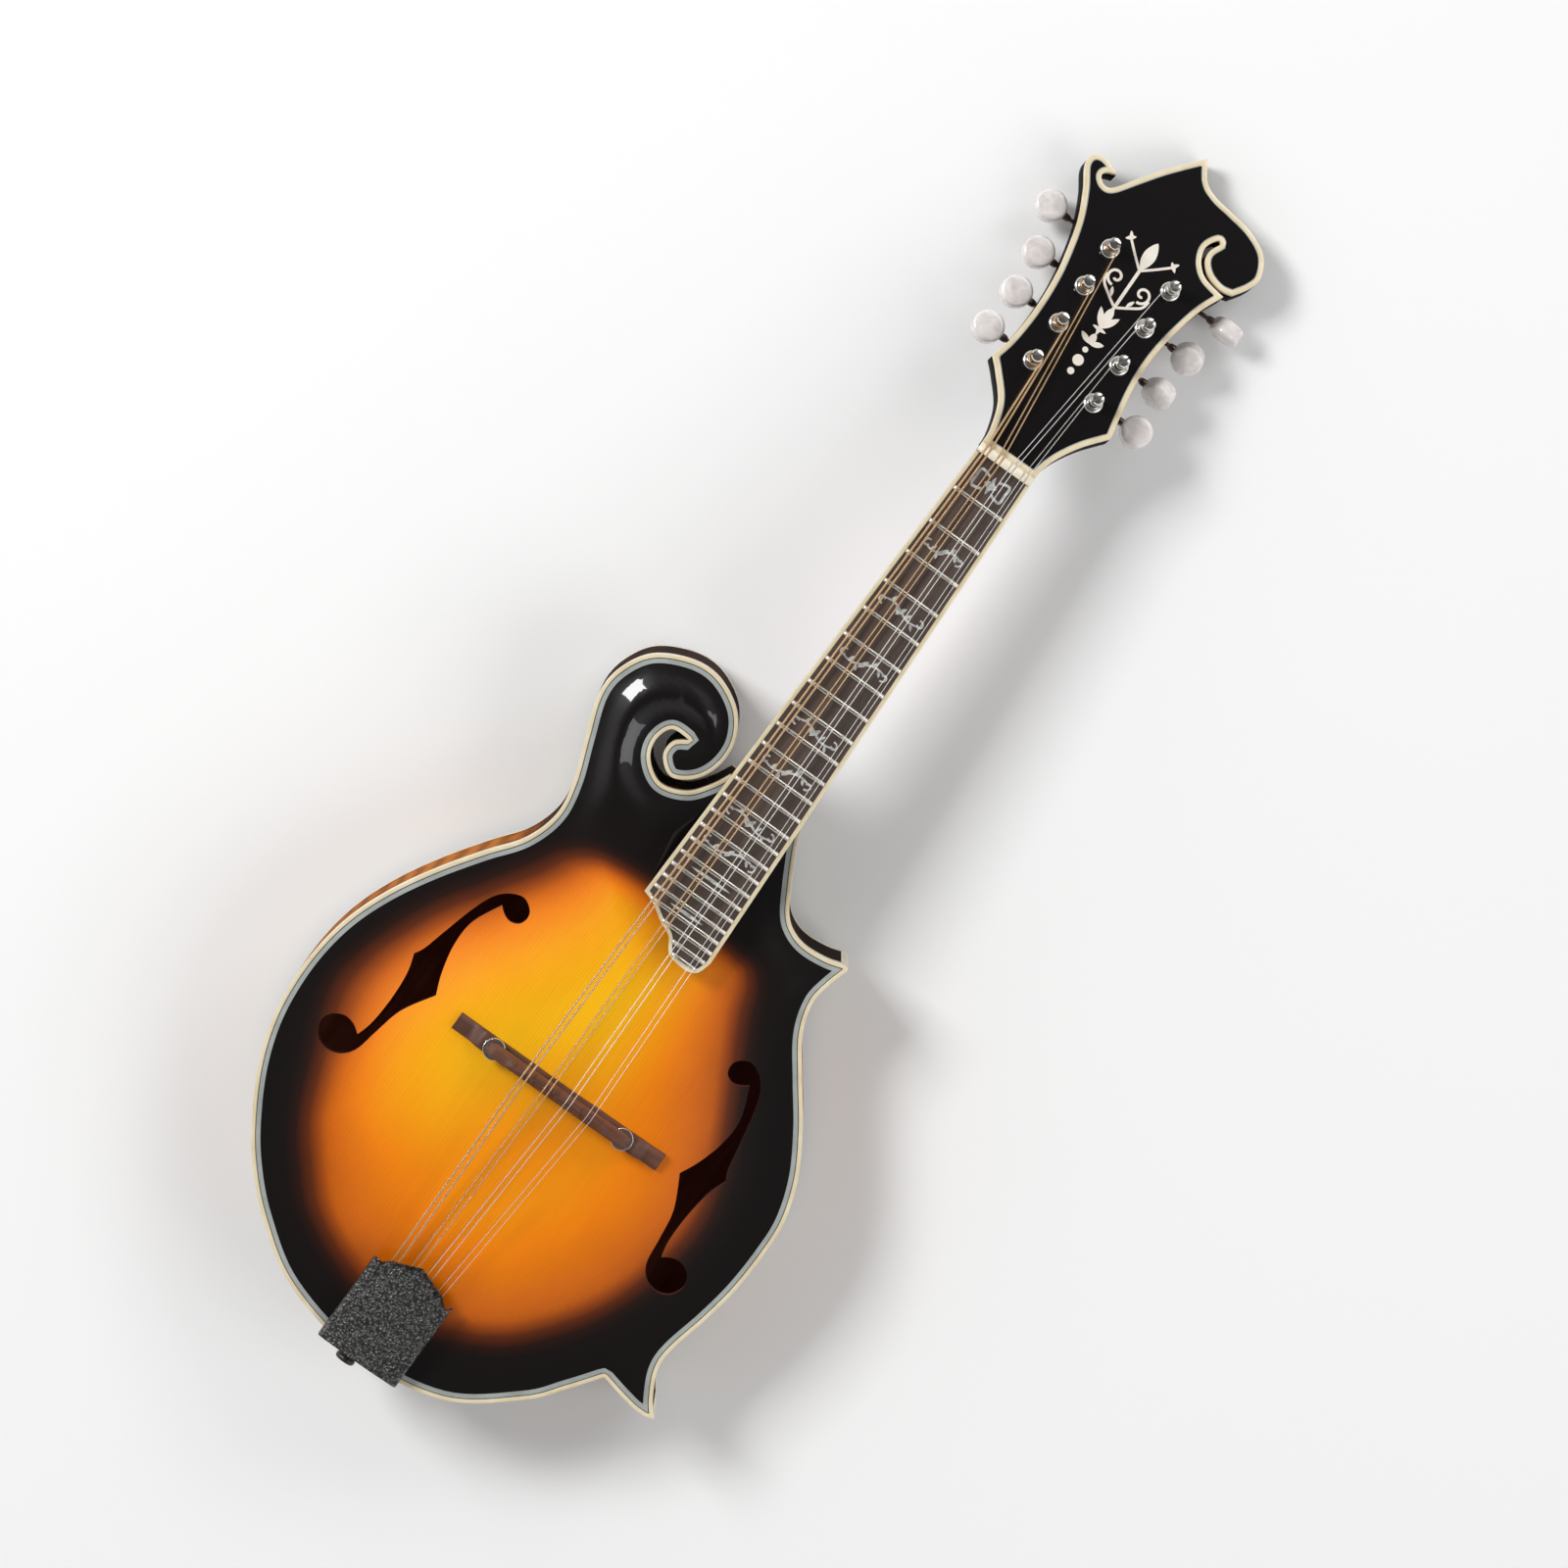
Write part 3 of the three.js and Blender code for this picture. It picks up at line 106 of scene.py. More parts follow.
# The saddle's crest in five steps that set each pair's length: from x, to x, and y.
SADDLE_STEPS = [(-24, -13.2, -1.1), (-13.2, -1.6, 0.9), (-1.6, 0.4, -0.9), (0.4, 13.2, -0.2),
                (13.2, 24, 1.1)]
THREAD_LOW_Z, THREAD_HIGH_Z, THREAD_STEP = 74.0, 83.85, 0.35
BRIDGE_POST_X, WHEEL_RADIUS, WHEEL_Z = 36.0, 5.35, (78.2, 80.2)

# String pairs from bass to treble: name, x at the tailpiece, saddle and nut, radius, wound or plain.
COURSES = [("g", -15, -17.5, -10.5, 0.5, True), ("d", -7.5, -5.8, -3.5, 0.33, True),
           ("a", -0.5, 5.8, 3.5, 0.19, False), ("e", 7, 17.5, 10.5, 0.14, False)]
PAIR_HALF_GAP = (1.6, 1.3, 1.1)

# ---- outlines: closed loops of smooth runs that meet at sharp corners -----------------------------

BODY_RUNS = [
    [(-20, 164.6), (-24.6, 155.7), (-32.1, 146.8), (-44, 143), (-54, 149), (-57.3, 157.9), (-54, 166.4),
     (-44.5, 166.8)],
    [(-44.5, 166.8), (-50.4, 162), (-50.4, 154), (-42, 148.1), (-32, 153.9), (-26.5, 165), (-27, 178.6),
     (-35, 191), (-50, 198.6), (-65, 198), (-81.5, 189.5), (-90, 175), (-91, 160), (-84.3, 140),
     (-77.1, 120), (-74.7, 103), (-80, 86), (-92, 70), (-105.7, 50), (-117, 30), (-125, 10), (-129, -10),
     (-129.6, -30), (-127.2, -50), (-121, -70), (-111, -90), (-97.5, -110), (-77.5, -130), (-48, -149),
     (-4, -158.5), (40, -152), (71, -130), (84.1, -114.5), (95.3, -99.5)],
    [(95.3, -99.5), (105, -101.8), (115, -103.6), (121.5, -103.6), (125.6, -102.2)],
    [(125.6, -102.2), (119.8, -95), (113.6, -82), (113.6, -70), (118.2, -50), (121.5, -30), (122.5, -8),
     (121.1, 10), (114.3, 30), (102.5, 50), (90, 67.1), (77.5, 85), (72.6, 100), (74, 111.7), (77, 121.8)],
    [(77, 121.8), (74.5, 123.2), (66, 120.9), (55, 120), (46.7, 122.1), (40, 127.3), (32.9, 139), (25, 154),
     (20.6, 164.6)],
    [(20.6, 164.6), (15, 164.6), (-15, 164.6), (-20, 164.6)],
]
BASS_F_HOLE_RUNS = [
    [(-70.9, 54.4), (-67.7, 51.8), (-63.6, 50.6), (-59.5, 52.3), (-57.9, 56.4), (-59.5, 60.5), (-65, 63.2),
     (-72, 60.3), (-77.3, 54.1), (-81.4, 43.6), (-85.5, 29.1), (-88.6, 17.7), (-91.2, 12.7)],
    [(-91.2, 12.7), (-88.6, 3.6), (-87.7, -10), (-88.6, -24.5), (-90.9, -33.2)],
    [(-90.9, -33.2), (-95.5, -30.3), (-101, -29.8), (-106.3, -33), (-108.3, -38.5), (-105.7, -44.7),
     (-99.5, -47.5), (-92.3, -45.5), (-87.2, -39), (-84.5, -26.4), (-80.8, -12), (-71.8, 3.2)],
    [(-71.8, 3.2), (-75.5, 12.7), (-78.4, 26.4), (-77.7, 40), (-70.9, 54.4)],
]
F_HOLE_MIRROR, F_HOLE_DROP = -4.0, 2.5
TREBLE_NICK, TREBLE_TURN = np.array([67.8, 0.7]), math.radians(-4.7)
ARCH_LOOP = [
    (0, 130), (-38, 126), (-63, 112), (-71, 90), (-86, 66), (-103, 40), (-114, 15), (-120, -15),
    (-118, -48), (-107, -80), (-88, -108), (-58, -134), (-4, -151), (50, -134), (80, -108), (99, -80),
    (110, -48), (113, -15), (107, 15), (96, 40), (81, 66), (67, 90), (60, 112), (36, 126),
]
HEAD_RUNS = [
    [(-14.7, 0), (-15.2, 7.5), (-19.4, 20), (-28.1, 30.6), (-33.5, 36)],
    [(-33.5, 36), (-30.9, 47.5), (-29.7, 65), (-30.5, 82.5), (-33, 97.5), (-36.9, 112.5), (-42.9, 126),
     (-48.6, 135.6), (-48.4, 141.3), (-44.4, 143.8), (-38.9, 143), (-34, 140.6)],
    [(-34, 140.6), (-38.5, 138.5), (-39.4, 135.6), (-36, 133), (-31.9, 134.4), (-25, 144.4), (-16.3, 156.9),
     (-3.5, 172.5)],
    [(-3.5, 172.5), (2.5, 163.1), (10, 159.4), (20, 157.9), (32.5, 155.6), (43.1, 150), (48.1, 140.6),
     (46.8, 133.5), (41.9, 125.6)],
    [(41.9, 125.6), (36.5, 124.3), (31.3, 125), (26.3, 127.3), (22.4, 131.6), (21.6, 136.5), (24, 142.3)],
    [(24, 142.3), (22.2, 143.2), (19.4, 138.5), (19.4, 133.8), (22.4, 128.3), (28, 124.4), (38.8, 122.4)],
    [(38.8, 122.4), (34.4, 112.5), (31.3, 101.3), (28.6, 86), (27.8, 72.5), (29, 57.5), (33.1, 36)],
    [(33.1, 36), (24.4, 25), (18.1, 13.8), (15.2, 5), (14.7, 0)],
    [(14.7, 0), (10, 0), (-10, 0), (-14.7, 0)],
]
BOARD_END_RUN = [(-21.9, 253), (-16, 255), (-8, 260), (-1, 263.5), (4, 270), (13, 272), (19.5, 270),
                 (22.2, 263)]


def smooth_run(run, steps):
    """Points on the uniform Catmull-Rom curve through a run's points, its ends included."""
    points = np.array(run, float)
    last = len(points) - 1
    out = []
    for k in range(last * steps + 1):
        i, t = min(k // steps, last), (k % steps) / steps
        p0, p1 = points[max(i - 1, 0)], points[i]
        p2, p3 = points[min(i + 1, last)], points[min(i + 2, last)]
        v0, v1 = (p2 - p0) / 2, (p3 - p1) / 2
        cubic, square = 2 * p1 - 2 * p2 + v0 + v1, 3 * p2 - 3 * p1 - 2 * v0 - v1
        out.append(cubic * t ** 3 + square * t ** 2 + v0 * t + p1)
    return np.array(out)


def area(loop):
    ahead = np.roll(loop, -1, axis=0)
    return 0.5 * float(np.sum(loop[:, 0] * ahead[:, 1] - ahead[:, 0] * loop[:, 1]))


def closed_outline(runs, steps):
    loop = np.concatenate([smooth_run(run, steps)[:-1] for run in runs])
    return loop if area(loop) > 0 else loop[::-1].copy()


def distance_to(loop, places):
    """The distance from each place to the closed loop."""
    start, end = loop, np.roll(loop, -1, axis=0)
    along = end - start
    length = np.maximum(np.sum(along ** 2, axis=1), 1e-12)
    best = np.full(len(places), np.inf)
    for first in range(0, len(places), 2000):
        part = places[first:first + 2000]
        offset = part[:, None, :] - start[None]
        share = np.clip(np.sum(offset * along[None], axis=2) / length[None], 0, 1)
        gap = offset - share[..., None] * along[None]
        best[first:first + 2000] = np.sqrt(np.min(np.sum(gap ** 2, axis=2), axis=1))
    return best


def inside(loop, places):
    x, y = places[:, 0], places[:, 1]
    result = np.zeros(len(places), bool)
    for a, b in zip(loop, np.roll(loop, -1, axis=0)):
        if a[1] != b[1]:
            crosses = (a[1] > y) != (b[1] > y)
            result ^= crosses & (x < (b[0] - a[0]) * (y - a[1]) / (b[1] - a[1]) + a[0])
    return result


def inset(loop, distance):
    """The outline shifted inwards, without the stretches that would fold over at its corners."""
    if distance == 0:
        return loop
    along = np.roll(loop, -1, axis=0) - np.roll(loop, 1, axis=0)
    along /= np.maximum(np.linalg.norm(along, axis=1, keepdims=True), 1e-9)
    shifted = loop + distance * np.stack([-along[:, 1], along[:, 0]], axis=1)
    keep = (distance_to(loop, shifted) > distance * 0.97) & inside(loop, shifted)
    return shifted[keep]


body_outline = closed_outline(BODY_RUNS, 8)
head_outline = closed_outline(HEAD_RUNS, 7)
arch_loop = closed_outline([ARCH_LOOP + ARCH_LOOP[:1]], 6)
bass_hole = closed_outline(BASS_F_HOLE_RUNS, 6)


def turn_2d(points, centre, angle):
    c, s = math.cos(angle), math.sin(angle)
    return (points - centre) @ np.array([[c, s], [-s, c]]) + centre


mirrored_hole = bass_hole * [-1, 1] + [F_HOLE_MIRROR, -F_HOLE_DROP]
treble_hole = turn_2d(mirrored_hole, TREBLE_NICK, TREBLE_TURN)[::-1].copy()


def linear(value, low, high):
    """0 up to low, 1 from high on, and a straight line between."""
    return np.clip((value - low) / (high - low), 0, 1)


def smoothstep(value, low, high):
    t = linear(value, low, high)
    return t * t * (3 - 2 * t)


def arch_share(places):
    """0 outside the arching and 1 at its crown."""
    rise = smoothstep(distance_to(arch_loop, places), 0, ARCH_RISE_WIDTH) * inside(arch_loop, places)
    reach = np.minimum(1, np.linalg.norm(places - ARCH_CENTRE, axis=1) / ARCH_DOME_RADIUS)
    return rise * (0.5 + 0.25 * (1 + np.cos(math.pi * reach)))


def top_z(places):
    return TOP_EDGE_Z + TOP_ARCH * arch_share(places)


def back_z(places):
    return np.maximum(0, BACK_EDGE_Z - BACK_ARCH * arch_share(places))


def top_z_at(x, y):
    return float(top_z(np.array([[x, y]], float))[0])


# ---- frames: the row, and the sloping planes of headstock, fretboard and tailpiece ----------------

def tilted(y, z, angle):
    return Matrix.Translation((0, y, z)) @ Matrix.Rotation(angle, 4, "X")


ROW = Matrix.Identity(4)
HEAD = tilted(HEAD_START_Y, HEAD_START_Z, -HEAD_PITCH)
BOARD = tilted(SCALE_LENGTH, BOARD_TOP_AT_NUT, -NECK_SLOPE)
TAIL = tilted(TAILPIECE_Y, TAILPIECE_Z, TAILPIECE_TILT)


# ---- mesh building -------------------------------------------------------------------------------

def link(name, data):
    """A new object in the scene around a mesh, a light or a camera."""
    made = bpy.data.objects.new(name, data)
    bpy.context.scene.collection.objects.link(made)
    return made


def mesh_of(name, verts, faces, place=ROW):
    """A mesh from points in mm in the given frame."""
    matrix = np.array(place)
    points = (np.asarray(verts, float) @ matrix[:3, :3].T + matrix[:3, 3]) * MM
    mesh = bpy.data.meshes.new(name)
    mesh.from_pydata(points.tolist(), [], [tuple(int(i) for i in face) for face in faces])
    mesh.validate()
    mesh.update()
    return mesh


def smooth(mesh, crease):
    """Smooth shading, broken where faces meet at more than crease degrees."""
    mesh.shade_smooth()
    mesh.set_sharp_from_angle(angle=math.radians(crease))


def make_piece(name, verts, faces, material, body="instrument", replaces=(), place=ROW, crease=35,
               flat=False):
    """A mesh object from points in mm in the given frame, riding on a body, in a material of MATERIALS."""
    mesh = mesh_of(name, verts, faces, place)
    if not flat:
        smooth(mesh, crease)
    piece = link(name, mesh)
    mesh.materials.append(MATERIALS[material])
    if body:
        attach(piece, body)
    if replaces:
        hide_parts(*([replaces] if isinstance(replaces, str) else replaces))
    return piece


def bevel(piece, width, segments=2, angle=40):
    """Rounds a piece's edges and keeps the result in its mesh."""
    modifier = piece.modifiers.new("bevel", "BEVEL")
    modifier.width = width * MM
    modifier.segments = segments
    modifier.limit_method = "ANGLE"
    modifier.angle_limit = math.radians(angle)
    modifier.harden_normals = False
    apply_modifiers(piece)
    smooth(piece.data, 50)


def apply_modifiers(piece):
    graph = bpy.context.evaluated_depsgraph_get()
    mesh = bpy.data.meshes.new_from_object(piece.evaluated_get(graph))
    piece.modifiers.clear()
    old = piece.data
    piece.data = mesh
    bpy.data.meshes.remove(old)


def sheet_2d(outline, holes=(), cell=None, cuts=()):
    """Triangles that fill an outline, parted along the cuts, with a grid of points where cell is given."""
    points = [np.asarray(loop, float) for loop in (outline, *holes)]
    edges = []
    first = 0
    for loop in points:
        count = len(loop)
        edges += [(first + i, first + (i + 1) % count) for i in range(count)]
        first += count
    for line in cuts:
        points.append(np.asarray(line, float))
        edges += [(first + i, first + i + 1) for i in range(len(line) - 1)]
        first += len(line)
    if cell:
        low, high = outline.min(axis=0), outline.max(axis=0)
        xs, ys = np.arange(low[0], high[0], cell), np.arange(low[1], high[1], cell)
        grid = np.stack(np.meshgrid(xs, ys), axis=-1).reshape(-1, 2)
        grid = grid[inside(outline, grid) & (distance_to(outline, grid) > 0.5 * cell)]
        for hole in holes:
            grid = grid[~inside(hole, grid) & (distance_to(hole, grid) > 0.5 * cell)]
        points.append(grid)
    flat = np.concatenate(points)
    verts, _, faces, *_ = delaunay_2d_cdt([Vector(p) for p in flat], edges, [], 0, 1e-5)
    verts = np.array([tuple(v) for v in verts])
    faces = np.array([tuple(f) for f in faces])
    middles = verts[faces].mean(axis=1)
    keep = inside(np.asarray(outline), middles)
    for hole in holes:
        keep &= ~inside(np.asarray(hole), middles)
    faces = faces[keep]
    a, b, c = verts[faces[:, 0]], verts[faces[:, 1]], verts[faces[:, 2]]
    turn = (b[:, 0] - a[:, 0]) * (c[:, 1] - a[:, 1]) - (b[:, 1] - a[:, 1]) * (c[:, 0] - a[:, 0])
    faces[turn < 0] = faces[turn < 0][:, ::-1]
    return verts, faces


def border_edges(faces):
    """The edges that belong to one triangle only, in its own direction."""
    edges = {}
    for face in faces:
        for a, b in zip(face, np.roll(face, -1)):
            if (b, a) in edges:
                del edges[(b, a)]
            else:
                edges[(a, b)] = True
    return edges


def slab_mesh(verts, faces, low, high):
    """A closed slab between two height fields over a filled outline."""
    count = len(verts)
    lower = np.column_stack([verts, np.broadcast_to(low, count)])
    upper = np.column_stack([verts, np.broadcast_to(high, count)])
    walls = [(a, b, b + count, a + count) for a, b in border_edges(faces)]
    all_faces = [tuple(f[::-1]) for f in faces] + [tuple(f + count) for f in faces] + walls
    return np.concatenate([lower, upper]), all_faces


def prism(outline, low, high, holes=()):
    verts, faces = sheet_2d(np.asarray(outline, float), holes)
    return slab_mesh(verts, faces, low, high)


def around(count):
    """Evenly spaced angles over one full turn."""
    return np.linspace(0, 2 * math.pi, count, endpoint=False)


def circle(x, y, radius, sides=32):
    turn = around(sides)
    return np.stack([x + radius * np.cos(turn), y + radius * np.sin(turn)], axis=1)


def loft(rings, closed_ends=True):
    """A skin over rings of the same number of points."""
    rings = [np.asarray(ring, float) for ring in rings]
    count = len(rings[0])
    faces = []
    for i in range(len(rings) - 1):
        for j in range(count):
            k = (j + 1) % count
            faces.append((i * count + j, i * count + k, (i + 1) * count + k, (i + 1) * count + j))
    if closed_ends:
        faces.append(tuple(range(count))[::-1])
        faces.append(tuple(range((len(rings) - 1) * count, len(rings) * count)))
    return np.concatenate(rings), faces


def lathe(profile, sides=48, axis="z"):
    """A solid of revolution from (radius, height) points; it starts and ends on the axis."""
    verts, faces = loft([np.column_stack([circle(0, 0, max(radius, 1e-3), sides), np.full(sides, height)])
                         for radius, height in profile])
    order = {"z": [0, 1, 2], "x": [2, 0, 1], "y": [1, 2, 0]}[axis]
    return verts[:, order], faces


def tube(path, radius, sides=10):
    """A round rod along a list of points."""
    path = np.asarray(path, float)
    ahead = np.gradient(path, axis=0)
    ahead /= np.linalg.norm(ahead, axis=1, keepdims=True)
    side = np.cross(ahead[0], [0, 0, 1])
    if np.linalg.norm(side) < 1e-3:
        side = np.cross(ahead[0], [1, 0, 0])
    rings = []
    turn = around(sides)
    for place, direction in zip(path, ahead):
        side = side - direction * np.dot(side, direction)
        side /= np.linalg.norm(side)
        up = np.cross(direction, side)
        rings.append(place + radius * (np.cos(turn)[:, None] * side + np.sin(turn)[:, None] * up))
    return loft(rings)


def joined(*parts):
    verts, faces, first = [], [], 0
    for part_verts, part_faces in parts:
        verts.append(np.asarray(part_verts, float))
        faces += [tuple(int(i) + first for i in face) for face in part_faces]
        first += len(part_verts)
    return np.concatenate(verts), faces


def moved(part, x=0.0, y=0.0, z=0.0):
    return part[0] + np.array([x, y, z]), part[1]


# ---- materials -----------------------------------------------------------------------------------

class Surface:
    """A material under construction, with short calls for its nodes."""

    def __init__(self, name, color, roughness=0.4, metallic=0.0, coat=0.0, coat_roughness=0.05,
                 specular=0.5):
        self.material = bpy.data.materials.new(name)
        self.material.use_nodes = True
        self.tree = self.material.node_tree
        self.shader = self.tree.nodes["Principled BSDF"]
        settings = {"Base Color": (*color, 1), "Roughness": roughness, "Metallic": metallic,
                    "Specular IOR Level": specular, "Coat Weight": coat, "Coat Roughness": coat_roughness}
        for key, value in settings.items():
            self.shader.inputs[key].default_value = value
        self.place = self.tree.nodes.new("ShaderNodeTexCoord").outputs["Object"]

    def node(self, kind, inputs=None, **settings):
        made = self.tree.nodes.new(kind)
        for key, value in settings.items():
            setattr(made, key, value)
        for key, value in (inputs or {}).items():
            self.put(made.inputs[key], value)
        return made

    def put(self, socket, value):
        if isinstance(value, bpy.types.NodeSocket):
            self.tree.links.new(value, socket)
        else:
            socket.default_value = value

    def stretched(self, scale):
        return self.node("ShaderNodeMapping", {"Vector": self.place, "Scale": scale}).outputs[0]

    def noise(self, scale, detail=4.0, stretch=(1, 1, 1), roughness=0.55):
        made = self.node("ShaderNodeTexNoise", {"Vector": self.stretched(stretch), "Scale": scale,
                                                "Detail": detail, "Roughness": roughness})
        return made.outputs["Fac"]

    def wave(self, direction, scale, stretch, distortion, detail, detail_scale):
        """Bands across one axis, bent by a noise."""
        made = self.node("ShaderNodeTexWave", {"Vector": self.stretched(stretch), "Scale": scale,
                                               "Distortion": distortion, "Detail": detail,
                                               "Detail Scale": detail_scale}, bands_direction=direction)
        return made.outputs["Fac"]

    def ramp(self, value, stops):
        made = self.node("ShaderNodeValToRGB", {"Fac": value})
        ramp = made.color_ramp
        ramp.elements[0].position, ramp.elements[0].color = stops[0][0], (*stops[0][1], 1)
        ramp.elements[1].position, ramp.elements[1].color = stops[-1][0], (*stops[-1][1], 1)
        for position, color in stops[1:-1]:
            ramp.elements.new(position).color = (*color, 1)
        return made.outputs["Color"]

    def mix(self, factor, first, second, blend="MIX"):
        made = self.node("ShaderNodeMix", data_type="RGBA", blend_type=blend)
        self.put(made.inputs[0], factor)
        self.put(made.inputs[6], first if isinstance(first, bpy.types.NodeSocket) else (*first, 1))
        self.put(made.inputs[7], second if isinstance(second, bpy.types.NodeSocket) else (*second, 1))
        return made.outputs[2]

    def maths(self, operation, first, second=0.0):
        made = self.node("ShaderNodeMath", operation=operation)
        self.put(made.inputs[0], first)
        self.put(made.inputs[1], second)
        return made.outputs[0]

    def remap(self, value, low, high, to_low=0.0, to_high=1.0):
        made = self.node("ShaderNodeMapRange", {"Value": value, "From Min": low, "From Max": high,
                                                "To Min": to_low, "To Max": to_high})
        return made.outputs[0]

    def attribute(self, name):
        return self.node("ShaderNodeAttribute", attribute_name=name).outputs["Fac"]

    def color(self, value):
        self.put(self.shader.inputs["Base Color"], value)
        return self

    def rough(self, value):
        self.put(self.shader.inputs["Roughness"], value)
        return self

    def bump(self, height, strength=0.3, distance=0.0002):
        made = self.node("ShaderNodeBump", {"Height": height, "Strength": strength, "Distance": distance})
        self.put(self.shader.inputs["Normal"], made.outputs[0])
        return self


BURST_STOPS = [
    (0.0, (0.003, 0.0015, 0.0015)), (0.12, (0.005, 0.002, 0.0015)), (0.18, (0.020, 0.004, 0.001)),
    (0.25, (0.11, 0.020, 0.001)), (0.31, (0.34, 0.065, 0.001)), (0.38, (0.68, 0.15, 0.001)),
    (0.47, (0.92, 0.25, 0.001)), (0.6, (0.98, 0.39, 0.002)), (0.8, (1.0, 0.53, 0.004)),
    (1.0, (1.0, 0.60, 0.006)),
]


def spruce_top():
    """Straight-grained spruce under a gloss sunburst: amber in the middle, black at the edge, with painted
    shade to the treble side and painted light to the upper bass side.
    """
    s = Surface("spruce_sunburst", (0.9, 0.4, 0.03), roughness=0.4, coat=1.0, coat_roughness=0.05,
                specular=0.2)
    wander = s.remap(s.noise(14, 3), 0.0, 1.0, -0.035, 0.035)
    burst = s.ramp(s.maths("ADD", s.attribute("burst"), wander), BURST_STOPS)
    lines = s.wave("X", 210.0, (1, 0.06, 0.3), 1.6, 2.0, 1.5)
    grain = s.maths("MULTIPLY", lines, s.remap(s.noise(60, 3, (1, 0.05, 1)), 0.2, 0.8, 0.4, 1.0))
    fibres = s.noise(900, 3, (1, 0.02, 1))
    shade = s.maths("ADD", s.maths("MULTIPLY", grain, 0.10), s.maths("MULTIPLY", fibres, 0.12))
    s.color(s.mix(s.maths("MULTIPLY", shade, 2.2), burst, (0.70, 0.42, 0.25), "MULTIPLY"))
    return s.bump(grain, 0.05, 0.00005).material


def flamed_maple(name, stops, gloss=1.0):
    """Maple with flame across its grain, under a sunburst set by the burst attribute, which on the back plate
    also holds painted shade and painted light.
    """
    s = Surface(name, (0.3, 0.1, 0.03), roughness=0.4, coat=gloss, coat_roughness=0.05, specular=0.0)
    base = s.ramp(s.maths("ADD", s.attribute("burst"), s.remap(s.noise(18, 3), 0, 1, -0.04, 0.04)), stops)
    flame = s.wave("Y", 34.0, (0.35, 1, 1), 5.0, 3.0, 0.7)
    fibres = s.noise(500, 3, (0.05, 1, 1))
    dark = s.maths("MULTIPLY", s.remap(flame, 0.1, 0.9), 0.42)
    s.color(s.mix(s.maths("ADD", dark, s.maths("MULTIPLY", fibres, 0.12)), base, (0.05, 0.012, 0.004)))
    return s.material


def bare_wood(name, pale, dark):
    s = Surface(name, pale, roughness=0.75)
    grain = s.noise(160, 5, (1, 0.08, 1))
    s.color(s.mix(s.remap(grain, 0.35, 0.7), pale, dark))
    return s.bump(grain, 0.3, 0.0002).material


def dark_wood(name, base, streak, roughness, pores=0.35):
    """Rosewood or ebony: dark, with brown streaks and open pores along the grain."""
    s = Surface(name, base, roughness=roughness)
    along_x = name.startswith("bridge")
    stretch = (0.06, 1, 1) if along_x else (1, 0.05, 1)
    streaks = s.remap(s.noise(130, 5, stretch), 0.42, 0.68)
    fine = s.noise(1400, 2, (0.05, 1, 1) if along_x else (1, 0.04, 1))
    s.color(s.mix(streaks, base, streak))
    s.rough(s.remap(fine, 0.3, 0.7, roughness - 0.08, roughness + 0.15))
    return s.bump(s.remap(fine, 0.42, 0.5), pores, 0.00012).material


def black_lacquer(name, gloss):
    s = Surface(name, (0.006, 0.005, 0.005), roughness=0.3, coat=gloss, coat_roughness=0.03, specular=0.0)
    s.rough(s.remap(s.noise(40, 4), 0.3, 0.7, 0.26, 0.36))
    return s.material


def celluloid(name, pale, deep):
    """Binding: ivory plastic with faint streaks along its length."""
    s = Surface(name, pale, roughness=0.3, coat=0.6, coat_roughness=0.08)
    s.shader.inputs["Subsurface Weight"].default_value = 0.1
    s.shader.inputs["Subsurface Radius"].default_value = (0.001, 0.0007, 0.0004)
    s.color(s.mix(s.remap(s.noise(90, 4), 0.35, 0.7), pale, deep))
    return s.material


def pearl(name, colors, scale):
    """Mother-of-pearl or pearloid: cloudy cells with a soft shift of tint."""
    s = Surface(name, colors[0], roughness=0.22, coat=0.8, coat_roughness=0.05)
    warp = s.node("ShaderNodeVectorMath", {0: s.place, 1: (0.004, 0.004, 0.004)}, operation="ADD")
    swirl = s.node("ShaderNodeTexNoise", {"Vector": warp.outputs[0], "Scale": scale, "Detail": 5.0,
                                          "Distortion": 2.2})
    cells = s.node("ShaderNodeTexVoronoi", {"Vector": s.place, "Scale": scale * 1.6}, feature="SMOOTH_F1")
    value = s.maths("ADD", s.maths("MULTIPLY", swirl.outputs["Fac"], 0.75),
                    s.maths("MULTIPLY", cells.outputs["Distance"], 0.3))
    s.color(s.ramp(value, [(0.32, colors[2]), (0.5, colors[0]), (0.7, colors[1])]))
    s.rough(s.remap(swirl.outputs["Fac"], 0.3, 0.7, 0.16, 0.34))
    return s.material


def metal(name, color, roughness, scale=220.0, stretch=(1, 1, 1), wear=0.08, bump=0.04):
    s = Surface(name, color, roughness=roughness, metallic=1.0)
    marks = s.noise(scale, 4, stretch)
    s.rough(s.remap(marks, 0.3, 0.7, max(0.03, roughness - wear), roughness + wear))
    s.color(s.mix(s.remap(marks, 0.4, 0.8), color, tuple(0.72 * c for c in color)))
    return s.bump(marks, bump, 0.00005).material


def wound_wire():
    """Bronze winding: ridges a quarter of a millimetre apart along the string, with painted shade in the
    grooves between them.
    """
    s = Surface("bronze_winding", (0.62, 0.34, 0.12), roughness=0.28, metallic=1.0)
    ridges = s.node("ShaderNodeTexWave", {"Vector": s.place, "Scale": 420.0}, bands_direction="Y")
    # Painted shade: the colour is darker between the ridges, in the grooves of the winding.
    s.color(s.mix(ridges.outputs["Fac"], (0.42, 0.24, 0.11), (0.92, 0.66, 0.40)))
    return s.bump(ridges.outputs["Fac"], 0.8, 0.0002).material


